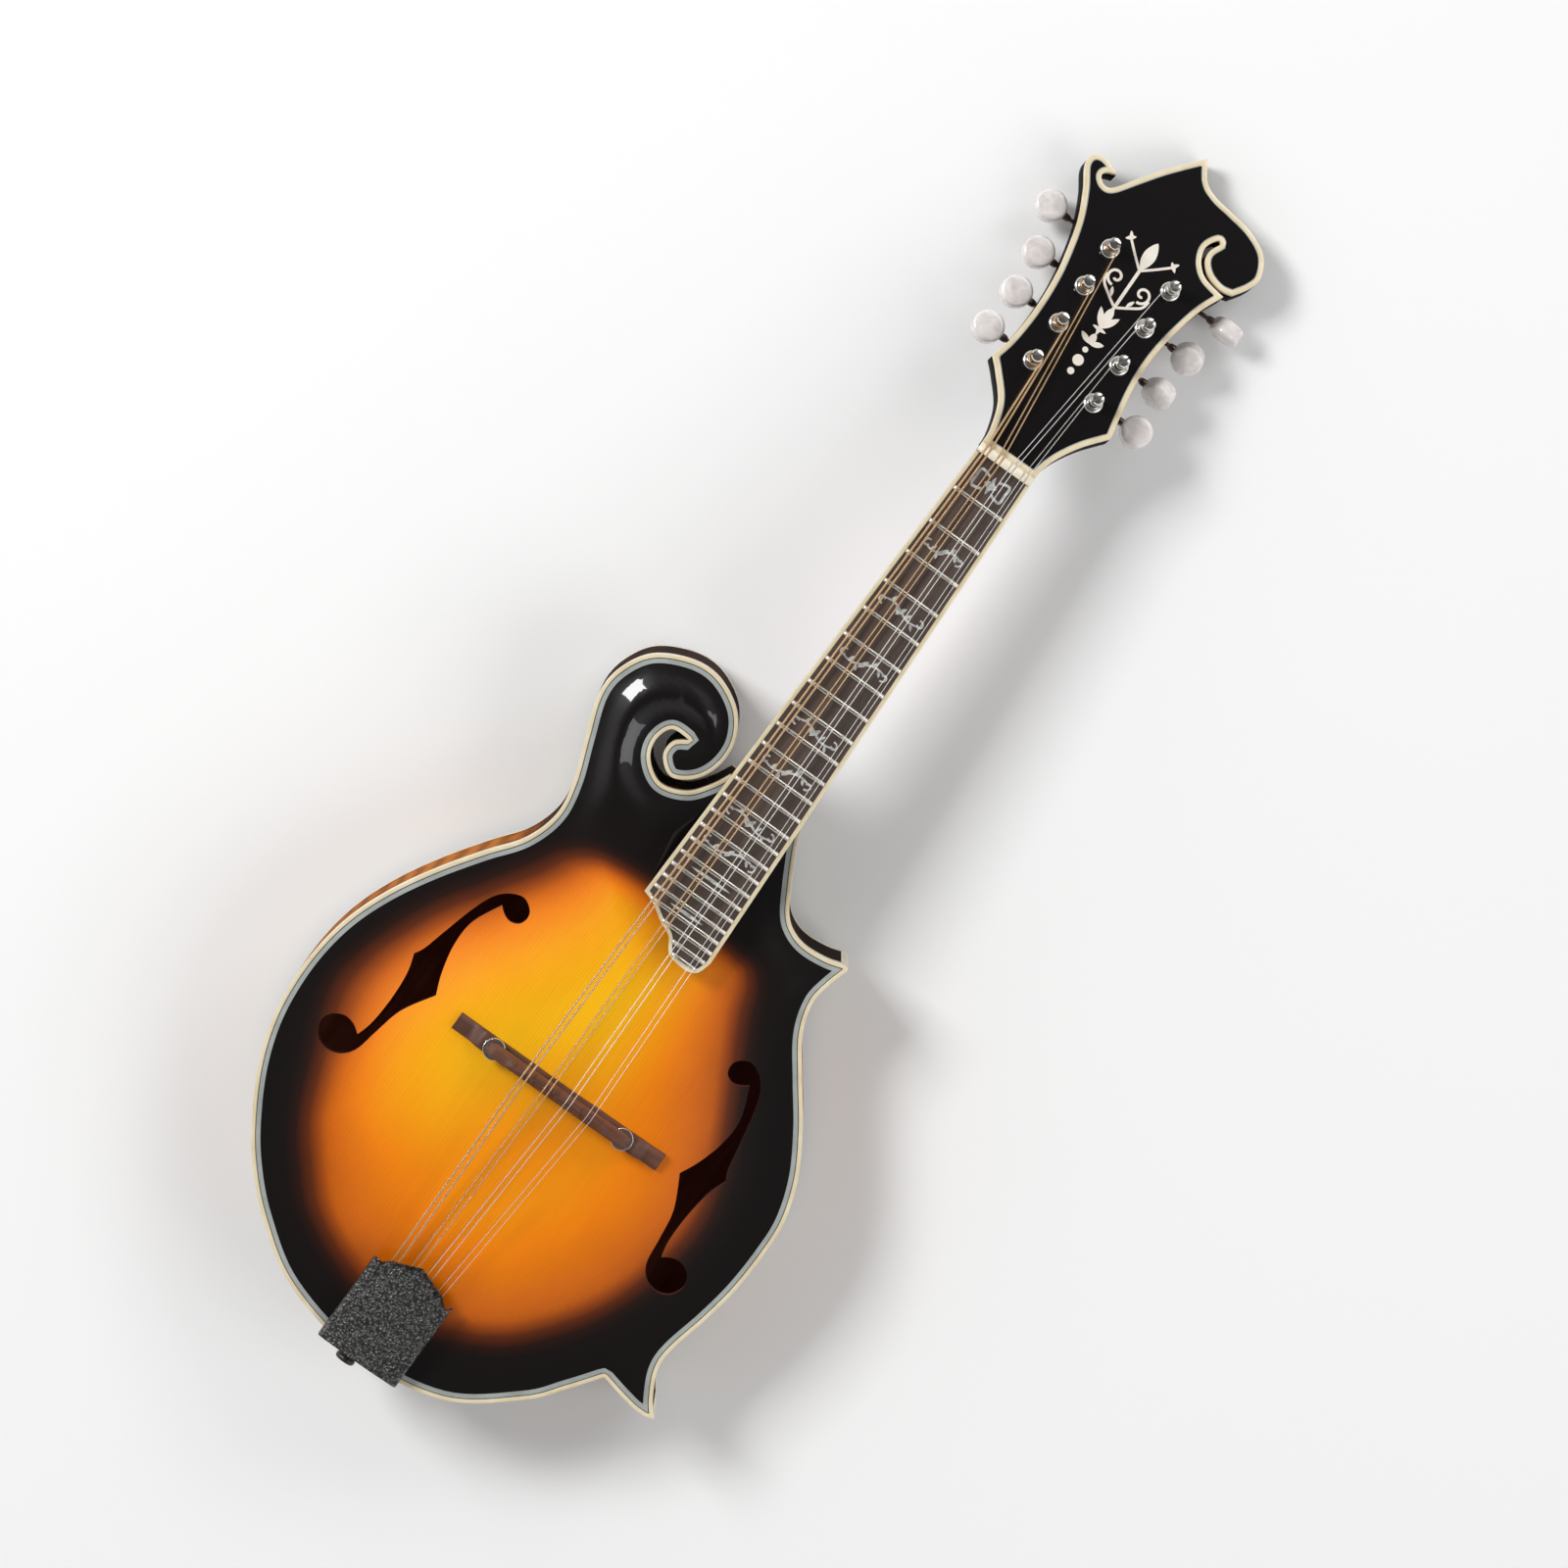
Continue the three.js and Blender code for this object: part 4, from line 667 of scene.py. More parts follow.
def embossed_black():
    """Black-plated sheet pressed with a close leafy relief, bright on its high spots."""
    s = Surface("embossed_black", (0.02, 0.02, 0.022), roughness=0.34, metallic=0.85)
    bend = s.node("ShaderNodeTexNoise", {"Vector": s.place, "Scale": 420.0, "Detail": 2.0})
    shift = s.node("ShaderNodeVectorMath", {0: bend.outputs["Color"], 1: (0.002, 0.002, 0.002)},
                   operation="MULTIPLY")
    place = s.node("ShaderNodeVectorMath", {0: s.place, 1: shift.outputs[0]}, operation="ADD")
    leaves = s.node("ShaderNodeTexVoronoi", {"Vector": place.outputs[0], "Scale": 900.0},
                    feature="SMOOTH_F1")
    fine = s.noise(2600, 3)
    height = s.maths("ADD", leaves.outputs["Distance"], s.maths("MULTIPLY", fine, 0.5))
    s.color(s.ramp(height, [(0.35, (0.20, 0.195, 0.19)), (0.8, (0.035, 0.034, 0.034))]))
    s.rough(s.remap(height, 0.3, 0.9, 0.16, 0.42))
    return s.bump(height, 1.0, 0.0005).material


MATERIALS = {
    "spruce": spruce_top(),
    # Painted shade: the f-hole walls are coloured dark maroon, like the shade inside the body.
    "hole_wall_shade": bare_wood("f_hole_wall", (0.13, 0.025, 0.012), (0.06, 0.012, 0.006)),
    "back": flamed_maple("maple_back", [(0.0, (0.008, 0.003, 0.002)), (0.3, (0.05, 0.010, 0.004)),
                                        (0.62, (0.26, 0.060, 0.010)), (1.0, (0.50, 0.15, 0.02))]),
    "rim": flamed_maple("maple_rim", [(0.0, (0.007, 0.003, 0.002)), (0.35, (0.06, 0.014, 0.004)),
                                      (0.7, (0.30, 0.08, 0.010)), (1.0, (0.46, 0.15, 0.02))], 0.06),
    "neck": flamed_maple("maple_neck", [(0.0, (0.007, 0.003, 0.002)), (0.4, (0.05, 0.011, 0.004)),
                                        (1.0, (0.30, 0.075, 0.012))], 0.1),
    "inner_back": bare_wood("inner_back", (0.50, 0.15, 0.08), (0.34, 0.09, 0.05)),
    "inner_wood": bare_wood("inner_wood", (0.42, 0.27, 0.14), (0.30, 0.17, 0.08)),
    "ebony": dark_wood("ebony_board", (0.050, 0.032, 0.025), (0.105, 0.068, 0.050), 0.42),
    "rosewood": dark_wood("bridge_rosewood", (0.080, 0.026, 0.014), (0.190, 0.068, 0.036), 0.5, 0.5),
    "button_wood": dark_wood("turned_ebony", (0.012, 0.010, 0.009), (0.03, 0.02, 0.015), 0.3),
    "lacquer": black_lacquer("black_lacquer", 1.0),
    "side_lacquer": black_lacquer("black_lacquer_sides", 0.1),
    "cream": celluloid("cream_celluloid", (0.80, 0.70, 0.50), (0.70, 0.58, 0.37)),
    "dark_ply": celluloid("dark_ply", (0.02, 0.02, 0.022), (0.03, 0.03, 0.03)),
    "silver_ply": celluloid("silver_ply", (0.40, 0.43, 0.41), (0.30, 0.32, 0.31)),
    "bone": celluloid("bone", (0.84, 0.77, 0.62), (0.74, 0.65, 0.48)),
    "pearl": pearl("mother_of_pearl", [(0.50, 0.50, 0.48), (0.72, 0.70, 0.66), (0.27, 0.30, 0.31)], 300.0),
    "pearloid": pearl("pearloid", [(0.78, 0.73, 0.71), (0.86, 0.83, 0.81), (0.66, 0.60, 0.59)], 110.0),
    "ivory": celluloid("ivory_ornament", (0.86, 0.80, 0.72), (0.78, 0.70, 0.60)),
    "nickel": metal("nickel", (0.80, 0.77, 0.73), 0.18),
    "plate": metal("tuner_plate_nickel", (0.62, 0.58, 0.52), 0.26, 300, (1, 0.1, 1), 0.1, 0.1),
    "shaft": metal("dark_shaft", (0.16, 0.11, 0.09), 0.3),
    "fret_wire": metal("fret_wire", (0.78, 0.74, 0.66), 0.25),
    "steel": metal("steel_wire", (0.90, 0.88, 0.85), 0.35),
    "bar_steel": metal("bar_steel", (0.20, 0.19, 0.18), 0.4, 300, (1, 0.05, 1), 0.12, 0.2),
    "bronze": wound_wire(),
    "embossed": embossed_black(),
}


def keep_shape(node, material):
    """A CAD node that keeps its own mesh, in a new material."""
    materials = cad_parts[node].data.materials
    materials.clear()
    materials.append(MATERIALS[material])


def set_burst_and_light(piece, values):
    """Stores how light the stain is at each point, 0 black and 1 amber; on the plates it also holds painted
    shade and painted light.
    """
    layer = piece.data.attributes.new("burst", "FLOAT", "POINT")
    layer.data.foreach_set("value", np.asarray(values, np.float32))


def points_mm(piece):
    flat = np.empty(len(piece.data.vertices) * 3)
    piece.data.vertices.foreach_get("co", flat)
    return flat.reshape(-1, 3) / MM


# ---- body ----------------------------------------------------------------------------------------

ply_edges = np.concatenate([[0], np.cumsum([width for _, _, width, _ in BINDING_PLIES])])
PLATE_INSET = float(ply_edges[-1]) + 0.03
BURST_REACH = 83.0


def stain_and_painted_light_of(places):
    """The stain of the plates: black outside the arching and light well inside it, with painted shade on the
    treble side and painted light on the upper bass side.
    """
    depth = distance_to(arch_loop, places) * np.where(inside(arch_loop, places), 1, -1)
    # Painted shade darkens the treble side and painted light brightens the upper bass side; the fade towards
    # the neck is the stain.
    treble_painted_shade = smoothstep(places[:, 0], -20, 110)
    fade = smoothstep(places[:, 1], 86, 114)
    upper_bass_painted_light = smoothstep(0.8 * places[:, 1] - places[:, 0], 55, 110)
    value = np.clip((depth + 2 - 7 * treble_painted_shade + 8 * upper_bass_painted_light) / BURST_REACH, 0, 1) * (1 - 0.75 * fade)
    # Painted shade: the amber is kept from going yellow towards the lower treble side.
    lower_treble_painted_shade = smoothstep(places[:, 0] - 0.8 * places[:, 1], -80, 30)
    return np.minimum(value, 0.35 + np.maximum(value - 0.35, 0) * (1 - 0.72 * lower_treble_painted_shade))


def carved_relief(places):
    """The scroll and the horn are carved up into low ridges inside their edges."""
    depth = smoothstep(distance_to(body_outline, places), 4.6, 19)
    scroll = smoothstep(-places[:, 0], 17, 52) * smoothstep(places[:, 1], 92, 138)
    horn = smoothstep(places[:, 0], 18, 50) * smoothstep(places[:, 1], 82, 114)
    return depth * (SCROLL_RELIEF * scroll + HORN_RELIEF * horn)


def make_plates():
    holes = (bass_hole, treble_hole)
    outline = inset(body_outline, PLATE_INSET)
    verts, faces = sheet_2d(outline, holes, 3.0)
    top = top_z(verts)
    mesh = slab_mesh(verts, faces, top - PLATE_THICKNESS + 0.4, top + carved_relief(verts))
    plate = make_piece("soundboard_arched", *mesh, "spruce", replaces="soundboard")
    plate.data.materials.append(MATERIALS["hole_wall_shade"])
    set_burst_and_light(plate, stain_and_painted_light_of(points_mm(plate)[:, :2]))
    # The f-hole walls get the painted-shade material.
    for polygon in plate.data.polygons:
        if abs(polygon.normal.z) < 0.3:
            middle = np.array([tuple(polygon.center)])[:, :2] / MM
            if min(distance_to(bass_hole, middle)[0], distance_to(treble_hole, middle)[0]) < 0.5:
                polygon.material_index = 1
    verts, faces = sheet_2d(outline, (), 5.0)
    low = back_z(verts)
    mesh = slab_mesh(verts, faces, low, low + PLATE_THICKNESS)
    back = make_piece("back_plate_arched", *mesh, "back", replaces="back_plate")
    back.data.materials.append(MATERIALS["inner_back"])
    set_burst_and_light(back, stain_and_painted_light_of(points_mm(back)[:, :2]))
    for polygon in back.data.polygons:
        if polygon.normal.z > 0.3:
            polygon.material_index = 1


def make_bindings():
    for side, low, high, node in (("top", 54.0, 60.0, "top_binding"), ("back", 10.0, 16.0, "back_binding")):
        for i, (ply, material, _, proud) in enumerate(BINDING_PLIES):
            outer, inner = inset(body_outline, ply_edges[i]), inset(body_outline, ply_edges[i + 1])
            z0, z1 = low, high
            if i > 0:
                z0, z1 = (high - 1.8, high + proud) if side == "top" else (low - proud, low + 1.8)
            mesh = prism(outer, z0, z1, (inner,))
            piece = make_piece(f"{node}_{ply}", *mesh, material, replaces=node)
            if i == 0:
                bevel(piece, 0.35)


LOWER_POINT, UPPER_POINT = np.array(BODY_RUNS[3][0]), np.array(BODY_RUNS[4][0])
RIB_JOINTS = {"tail": (BODY_CENTRE[0], -200.0), "lower": LOWER_POINT, "upper": UPPER_POINT,
              "neck": (0.0, NECK_END_Y)}


def turn_from_tail(places):
    """The direction of each place from the middle of the body, in turns from the tail."""
    away = np.atleast_2d(places) - BODY_CENTRE
    return (np.arctan2(away[:, 1], away[:, 0]) / (2 * math.pi) + 0.25) % 1.0


def layered_mesh(verts, faces, heights):
    """A closed slab over filled triangles, with a row of points at each height."""
    top = len(heights) - 1
    used, packed = np.unique(faces, return_inverse=True)
    faces, verts = packed.reshape(-1, 3), verts[used]
    count = len(verts)
    points = np.concatenate([np.column_stack([verts, np.full(count, z)]) for z in heights])
    quads = [(a + k * count, b + k * count, b + (k + 1) * count, a + (k + 1) * count)
             for a, b in border_edges(faces) for k in range(top)]
    return points, [tuple(f[::-1]) for f in faces] + [tuple(f + count * top) for f in faces] + quads


def rib_stain(places):
    bout = smoothstep(places[:, 1], 112, 60) * smoothstep(-places[:, 1], 165, 110)
    shoulder = 0.55 * smoothstep(places[:, 1], 20, 60)
    point = smoothstep(np.linalg.norm(places[:, :2] - LOWER_POINT, axis=1), 10, 50)
    band = 1 - 0.35 * np.abs(places[:, 2] - 35) / 20
    return np.clip(bout * (1 + shoulder) * point * band, 0, 1)


def make_ribs():
    """The wall in four bent ribs that meet at the tail, the points and the neck, with a cap on each point."""
    inner = inset(body_outline, RIM_THICKNESS)
    cuts = []
    for place in RIB_JOINTS.values():
        away = np.asarray(place, float) - BODY_CENTRE
        cuts.append(np.array([BODY_CENTRE, BODY_CENTRE + away * BEYOND / np.linalg.norm(away)]))
    for tip in (LOWER_POINT, UPPER_POINT):
        ring = circle(*tip, CAP_RADIUS, 40)
        cuts.append(np.concatenate([ring, ring[:1]]))
    verts, faces = sheet_2d(body_outline, (inner,), cuts=cuts)
    middles = verts[faces].mean(axis=1)
    turn = turn_from_tail(middles)
    lower, upper, neck = (turn_from_tail(RIB_JOINTS[name])[0] for name in ("lower", "upper", "neck"))
    caps = {f"{name}_point_cap": np.linalg.norm(middles - tip, axis=1) < CAP_RADIUS
            for name, tip in (("lower", LOWER_POINT), ("upper", UPPER_POINT))}
    wood = ~np.any(list(caps.values()), axis=0)
    spans = {"rib_lower": (0, lower), "rib_waist": (lower, upper), "rib_upper": (upper, neck),
             "rib_bass": (neck, 1)}
    for name, (start, end) in spans.items():
        mesh = layered_mesh(verts, faces[wood & (turn >= start) & (turn < end)], RIB_HEIGHTS)
        rib = make_piece(f"{name}_bent", *mesh, "rim", replaces=name)
        set_burst_and_light(rib, rib_stain(points_mm(rib)))
    for name, mask in caps.items():
        mesh = layered_mesh(verts, faces[mask], RIB_HEIGHTS[::5])
        make_piece(f"{name}_ivory", *mesh, "cream", replaces=name)


make_plates()
make_bindings()
make_ribs()

for inner_node in ("top_lining_bass", "top_lining_treble", "back_lining_bass", "back_lining_treble",
                   "head_block", "tail_block", "tone_bar_bass", "tone_bar_treble"):
    keep_shape(inner_node, "inner_wood")


# ---- neck and headstock --------------------------------------------------------------------------

NECK_START_Y = NECK_END_Y + 0.3
SHAFT_END_Y = HEAD_START_Y + 7


def neck_top(y):
    return BOARD_TOP_AT_NUT + (SCALE_LENGTH - y) * math.tan(NECK_SLOPE) - NECK_TOP_DROP


def board_half(y):
    return NUT_HALF_WIDTH + BOARD_FLARE * (SCALE_LENGTH - y)


def neck_depth(y):
    slim = NECK_DEPTH_AT_NUT + NECK_DEPTH_GROWTH * (SCALE_LENGTH - y)
    sweep = linear(y, HEEL_SWEEP_Y, NECK_START_Y) ** HEEL_SWEEP_POWER
    head_blend = linear(y, SCALE_LENGTH, SHAFT_END_Y)
    return slim + (neck_top(NECK_START_Y) - HEEL_Z - slim) * sweep - HEAD_THINNING * head_blend


def neck_ring(y, sides=36):
    depth, half, top = neck_depth(y), board_half(y) - 0.2, neck_top(y)
    ring = []
    for k in range(sides + 1):
        angle = math.pi * k / sides
        down = math.sin(angle)
        t = linear(depth, 10, 66)
        narrowing = 0.5 * t ** 3 * (t * (6 * t - 15) + 10) * down
        ring.append((math.cos(angle) * half * (1 - narrowing), y, top - down * depth))
    return ring[::-1]


def make_neck():
    heel = np.linspace(NECK_START_Y, HEEL_SWEEP_Y, 30)
    shaft = np.linspace(HEEL_SWEEP_Y, SHAFT_END_Y, 40)[1:]
    mesh = loft([neck_ring(y) for y in (*heel, *shaft)])
    neck = make_piece("neck_shaft", *mesh, "neck", replaces="neck")
    places = points_mm(neck)
    light = smoothstep(places[:, 1], 180, 235) * smoothstep(-places[:, 1], -345, -300)
    set_burst_and_light(neck, 0.15 + 0.85 * light)
    cutter = [(y, top_z_at(0, y) + 0.4) for y in np.arange(TONGUE_END_Y, NECK_END_Y, 4)]
    profile = cutter + [(TONGUE_ROOT_Y, TOP_EDGE_Z + 0.4), (TONGUE_ROOT_Y, neck_top(TONGUE_ROOT_Y)),
                        (TONGUE_END_Y, neck_top(TONGUE_END_Y))]
    verts, faces = prism(np.array(profile), -TONGUE_HALF_WIDTH, TONGUE_HALF_WIDTH)
    bevel(make_piece("neck_tongue", verts[:, [2, 0, 1]], faces, "side_lacquer", replaces="neck"), 0.6)
    mesh = prism(head_outline[head_outline[:, 1] > 0.5], -HEAD_THICKNESS, -HEAD_BINDING_HEIGHT - 0.05,
                 post_bores())
    bevel(make_piece("headstock_core", *mesh, "side_lacquer", replaces="neck", place=HEAD), 0.8)


def tuner_places():
    for side_name, side in (("bass", -1), ("treble", 1)):
        for index in range(4):
            yield side_name, side, index, side * POST_X, FIRST_POST_Y + index * POST_SPACING


def post_bores():
    return [circle(x, y, POST_RADIUS + POST_BORE_GAP, 24) for _, _, _, x, y in tuner_places()]


def make_headstock():
    inner = inset(head_outline, HEAD_BINDING_WIDTH)
    low = -HEAD_BINDING_HEIGHT
    ring = prism(head_outline, low, 0.0, (inner,))
    piece = make_piece("headstock_binding_bound", *ring, "cream", replaces="headstock_binding", place=HEAD)
    bevel(piece, 0.3)
    line = inset(head_outline, HEAD_BINDING_WIDTH + 0.4)
    make_piece("headstock_binding_line", *prism(inner, -1.0, 0.01, (line,)), "silver_ply",
               replaces="headstock_binding", place=HEAD)
    sheet = prism(line, low, 0.0, post_bores())
    make_piece("headstock_overlay_gloss", *sheet, "lacquer", replaces="headstock_overlay", place=HEAD)


make_neck()
make_headstock()
keep_shape("neck_bar", "bar_steel")


# ---- ornaments: thin pearl shapes let into the headstock and the fretboard ------------------------

INLAY_PROUD, INLAY_DEPTH, INLAY_STEP = 0.04, 0.3, 0.002
# Fret, reach to each side and which way the vine leans; then fret and reach of the two bars.
FRET_VINES = [(3, 9, 1), (5, 11, -1), (7, 11.5, 1), (10, 11, -1), (12, 12, 1), (15, 12, -1), (17, 13, 1)]
FRET_BARS = [(19, 11), (22, 9)]
LAST_FRET = 25


def ribbon(path, widths):
    """The outline of a flat band along a path, of one width or one for each point."""
    path = np.asarray(path, float)
    along = np.gradient(path, axis=0)
    along /= np.maximum(np.linalg.norm(along, axis=1, keepdims=True), 1e-9)
    side = np.stack([-along[:, 1], along[:, 0]], axis=1) * (np.broadcast_to(widths, len(path))[:, None] / 2)
    return np.concatenate([path - side, (path + side)[::-1]])


def spiral(centre, radius, start, turns, end_radius, count=30):
    t = np.linspace(0, 1, count)
    r = radius + (end_radius - radius) * t
    angle = start + 2 * math.pi * turns * t
    return np.stack([centre[0] + r * np.cos(angle), centre[1] + r * np.sin(angle)], axis=1)


def leaf(base, tip, width):
    """A pointed oval from base to tip."""
    base, tip = np.asarray(base, float), np.asarray(tip, float)
    t = np.linspace(0, 1, 14)
    middle = base + (tip - base) * t[:, None]
    return ribbon(middle, 0.1 + width * np.sin(math.pi * t) ** 0.8)


def mirror(outline):
    return (np.asarray(outline) * [-1, 1])[::-1]


def add_inlay(name, outlines, place, material, along=0.0):
    """Thin shapes let into a face, each a hair higher than the one before so that no two faces meet."""
    parts = [moved(prism(outline, -INLAY_DEPTH, INLAY_PROUD), y=along, z=INLAY_STEP * k)
             for k, outline in enumerate(outlines)]
    make_piece(name, *joined(*parts), material, place=place, flat=True)


def headstock_ornament():
    shapes = [
        leaf((0, 109.5), (0, 125), 6.2), ribbon([(0, 86), (0, 92), (0, 98), (0, 104), (0, 110.5)], 1.6),
        leaf((0, 78.5), (0, 87.5), 4.0), leaf((0, 75.8), (-5.2, 84.6), 3.0),
        leaf((0, 75.8), (5.2, 84.6), 3.0), leaf((-3.6, 75.2), (3.6, 75.2), 1.8),
        leaf((0, 72), (0, 79), 2.0), leaf((0, 66.6), (0, 72.6), 3.4), leaf((0, 66.8), (-6.2, 69.8), 2.6),
        leaf((0, 66.8), (6.2, 69.8), 2.6), circle(0, 63.4, 1.4), circle(0, 57.4, 2.7), circle(0, 51.2, 1.7),
    ]
    arm = smooth_run([(0.6, 109.5), (6, 114.2), (12, 119.8)], 6)
    sweep = smooth_run([(11.7, 99.5), (10.6, 95.2), (6, 91.6), (0.8, 88.2)], 6)
    scroll = spiral((7.4, 100.4), 1.1, math.radians(-60), -1.1, 4.4, 26)
    for shape in (ribbon(arm, 1.2), leaf((10, 121.6), (14, 118), 1.8), leaf((11, 118.8), (13.6, 122.6), 1.6),
                  ribbon(sweep, 1.25), leaf((4.2, 91.2), (6.2, 95.6), 1.6), ribbon(scroll, 1.3)):
        shapes += [shape, mirror(shape)]
    add_inlay("headstock_ornament", shapes, HEAD, "ivory")


def fret_distance(number):
    return SCALE_LENGTH * (1 - 2 ** (-number / 12))


def board_outline():
    end = smooth_run(BOARD_END_RUN, 8) * [1, -1]
    return np.concatenate([end, [(NUT_HALF_WIDTH, -0.2), (-NUT_HALF_WIDTH, -0.2)]])


def board_inner(edge):
    whole = board_outline()
    end = inset(whole, edge)
    end = end[end[:, 1] < -200]
    half = NUT_HALF_WIDTH - edge
    far = BOARD_END_RUN[0][1] - edge
    return np.concatenate([end, [(half, -0.2), (-half, -0.2), (-half - BOARD_FLARE * far, -far)]])


def vine(span, lean):
    """A leafing S-curve across the board, span wide to each side."""
    t = np.linspace(-1, 1, 40)
    wave = np.stack([span * t, lean * 2.2 * np.sin(2.6 * t) * (1 - 0.25 * t * t)], axis=1)
    shapes = [ribbon(wave, 0.7 + 0.4 * np.cos(math.pi * t / 2))]
    for x, side in ((-0.62, 1), (-0.3, -1), (0.3, 1), (0.62, -1)):
        root = np.array([span * x, lean * 2.2 * math.sin(2.6 * x) * (1 - 0.25 * x * x)])
        shapes.append(leaf(root, root + [span * 0.16, side * 3.0], 1.3))
    start = math.radians(250 if lean > 0 else 110)
    curl = spiral((span * 0.94, lean * 0.4), 2.2, start, lean * 0.8, 0.7, 22)
    shapes += [ribbon(curl, np.linspace(0.9, 0.6, 22)), leaf((-1.6, -2.4), (1.6, 2.4), 2.0)]
    shapes.append(ribbon(curl * [-1, -1], np.linspace(0.9, 0.6, 22)))
    return shapes


def fretboard_inlays():
    """A box of leaves by the nut, vines up the board and two bars past its join with the body."""
    shapes = {number: vine(span, lean) for number, span, lean in FRET_VINES}
    side = ribbon(smooth_run([(-2.5, 3.4), (-7.6, 4.4), (-8, 0), (-7.6, -4.4), (-2.5, -3.4)], 5), 1.3)
    shapes[1] = [side, leaf((-3.4, 0), (3.4, 0), 3.6), leaf((0, -4.6), (0, 4.6), 2.2), mirror(side)]
    for number, span in FRET_BARS:
        shapes[number] = [leaf((-span, 0), (span, 0), 1.6)]
    for number, outlines in shapes.items():
        middle = -(fret_distance(number) + fret_distance(number - 1)) / 2
        add_inlay(f"fret_{number}_inlay", outlines, BOARD, "pearl", middle)


def make_fretboard():
    inner = board_inner(BOARD_BINDING + 0.05)
    wood = joined(prism(inner, -BINDING_STRIP_DEPTH, -0.01),
                  prism(board_inner(0.1), -BOARD_THICKNESS, -BINDING_STRIP_DEPTH))
    make_piece("fretboard_wood", *wood, "ebony", replaces="fretboard", place=BOARD)
    ring_inner = board_inner(BOARD_BINDING)
    outline = board_outline()
    strip = prism(outline, -BINDING_STRIP_DEPTH, 0, (ring_inner - [0, 0.02],))
    binding = make_piece("fretboard_binding_strip", *strip, "cream", replaces="fretboard_binding",
                         place=BOARD)
    bevel(binding, 0.3)
    crown = [(-1.1, -0.05), (-0.95, 0.45), (-0.5, 0.85), (0, 0.95), (0.5, 0.85), (0.95, 0.45), (1.1, -0.05)]
    for number in range(1, LAST_FRET + 1):
        y = -fret_distance(number)
        xs = np.linspace(-24, 24, 193)
        room = xs[inside(outline, np.stack([xs, np.full(193, y)], axis=1))]
        if len(room) < 12:
            continue
        x0, x1 = room[0] + BOARD_BINDING, room[-1] - BOARD_BINDING
        stations = [x0, x0 + 0.7, x1 - 0.7, x1]
        scale = [0.45, 1, 1, 0.45]
        rings = [[(x, y + a, max(b * s, -0.05)) for a, b in crown] for x, s in zip(stations, scale)]
        make_piece(f"fret_{number}", *loft([r[::-1] for r in rings]), "fret_wire", place=BOARD, crease=60)


def make_nut():
    """A bone nut whose top dips into a slot at each string."""
    half = NUT_HALF_WIDTH - 0.3
    centres = [nut + side * PAIR_HALF_GAP[2] for _, _, _, nut, _, _ in COURSES for side in (-1, 1)]
    rings = []
    for x in np.linspace(-half, half, 240):
        dip = sum(0.9 * math.exp(-((x - c) / 0.45) ** 2) for c in centres)
        top = NUT_TOP_Z - min(dip, 0.95) - 1.2 * (abs(x) / half) ** 8
        y0, y1 = SCALE_LENGTH + 0.05, HEAD_START_Y - 0.1
        rings.append([(x, y0, NUT_BOTTOM_Z), (x, y1, NUT_BOTTOM_Z), (x, y1, top - 2.2),
                      (x, y1 - 0.8, top - 1.0), (x, y1 - 2.2, top - 0.3), (x, y0 + 0.6, top),
                      (x, y0, top - 0.5)])
    make_piece("nut_slotted", *loft(rings), "bone", replaces="nut", crease=50)


headstock_ornament()
make_fretboard()
fretboard_inlays()
make_nut()


# ---- bridge --------------------------------------------------------------------------------------

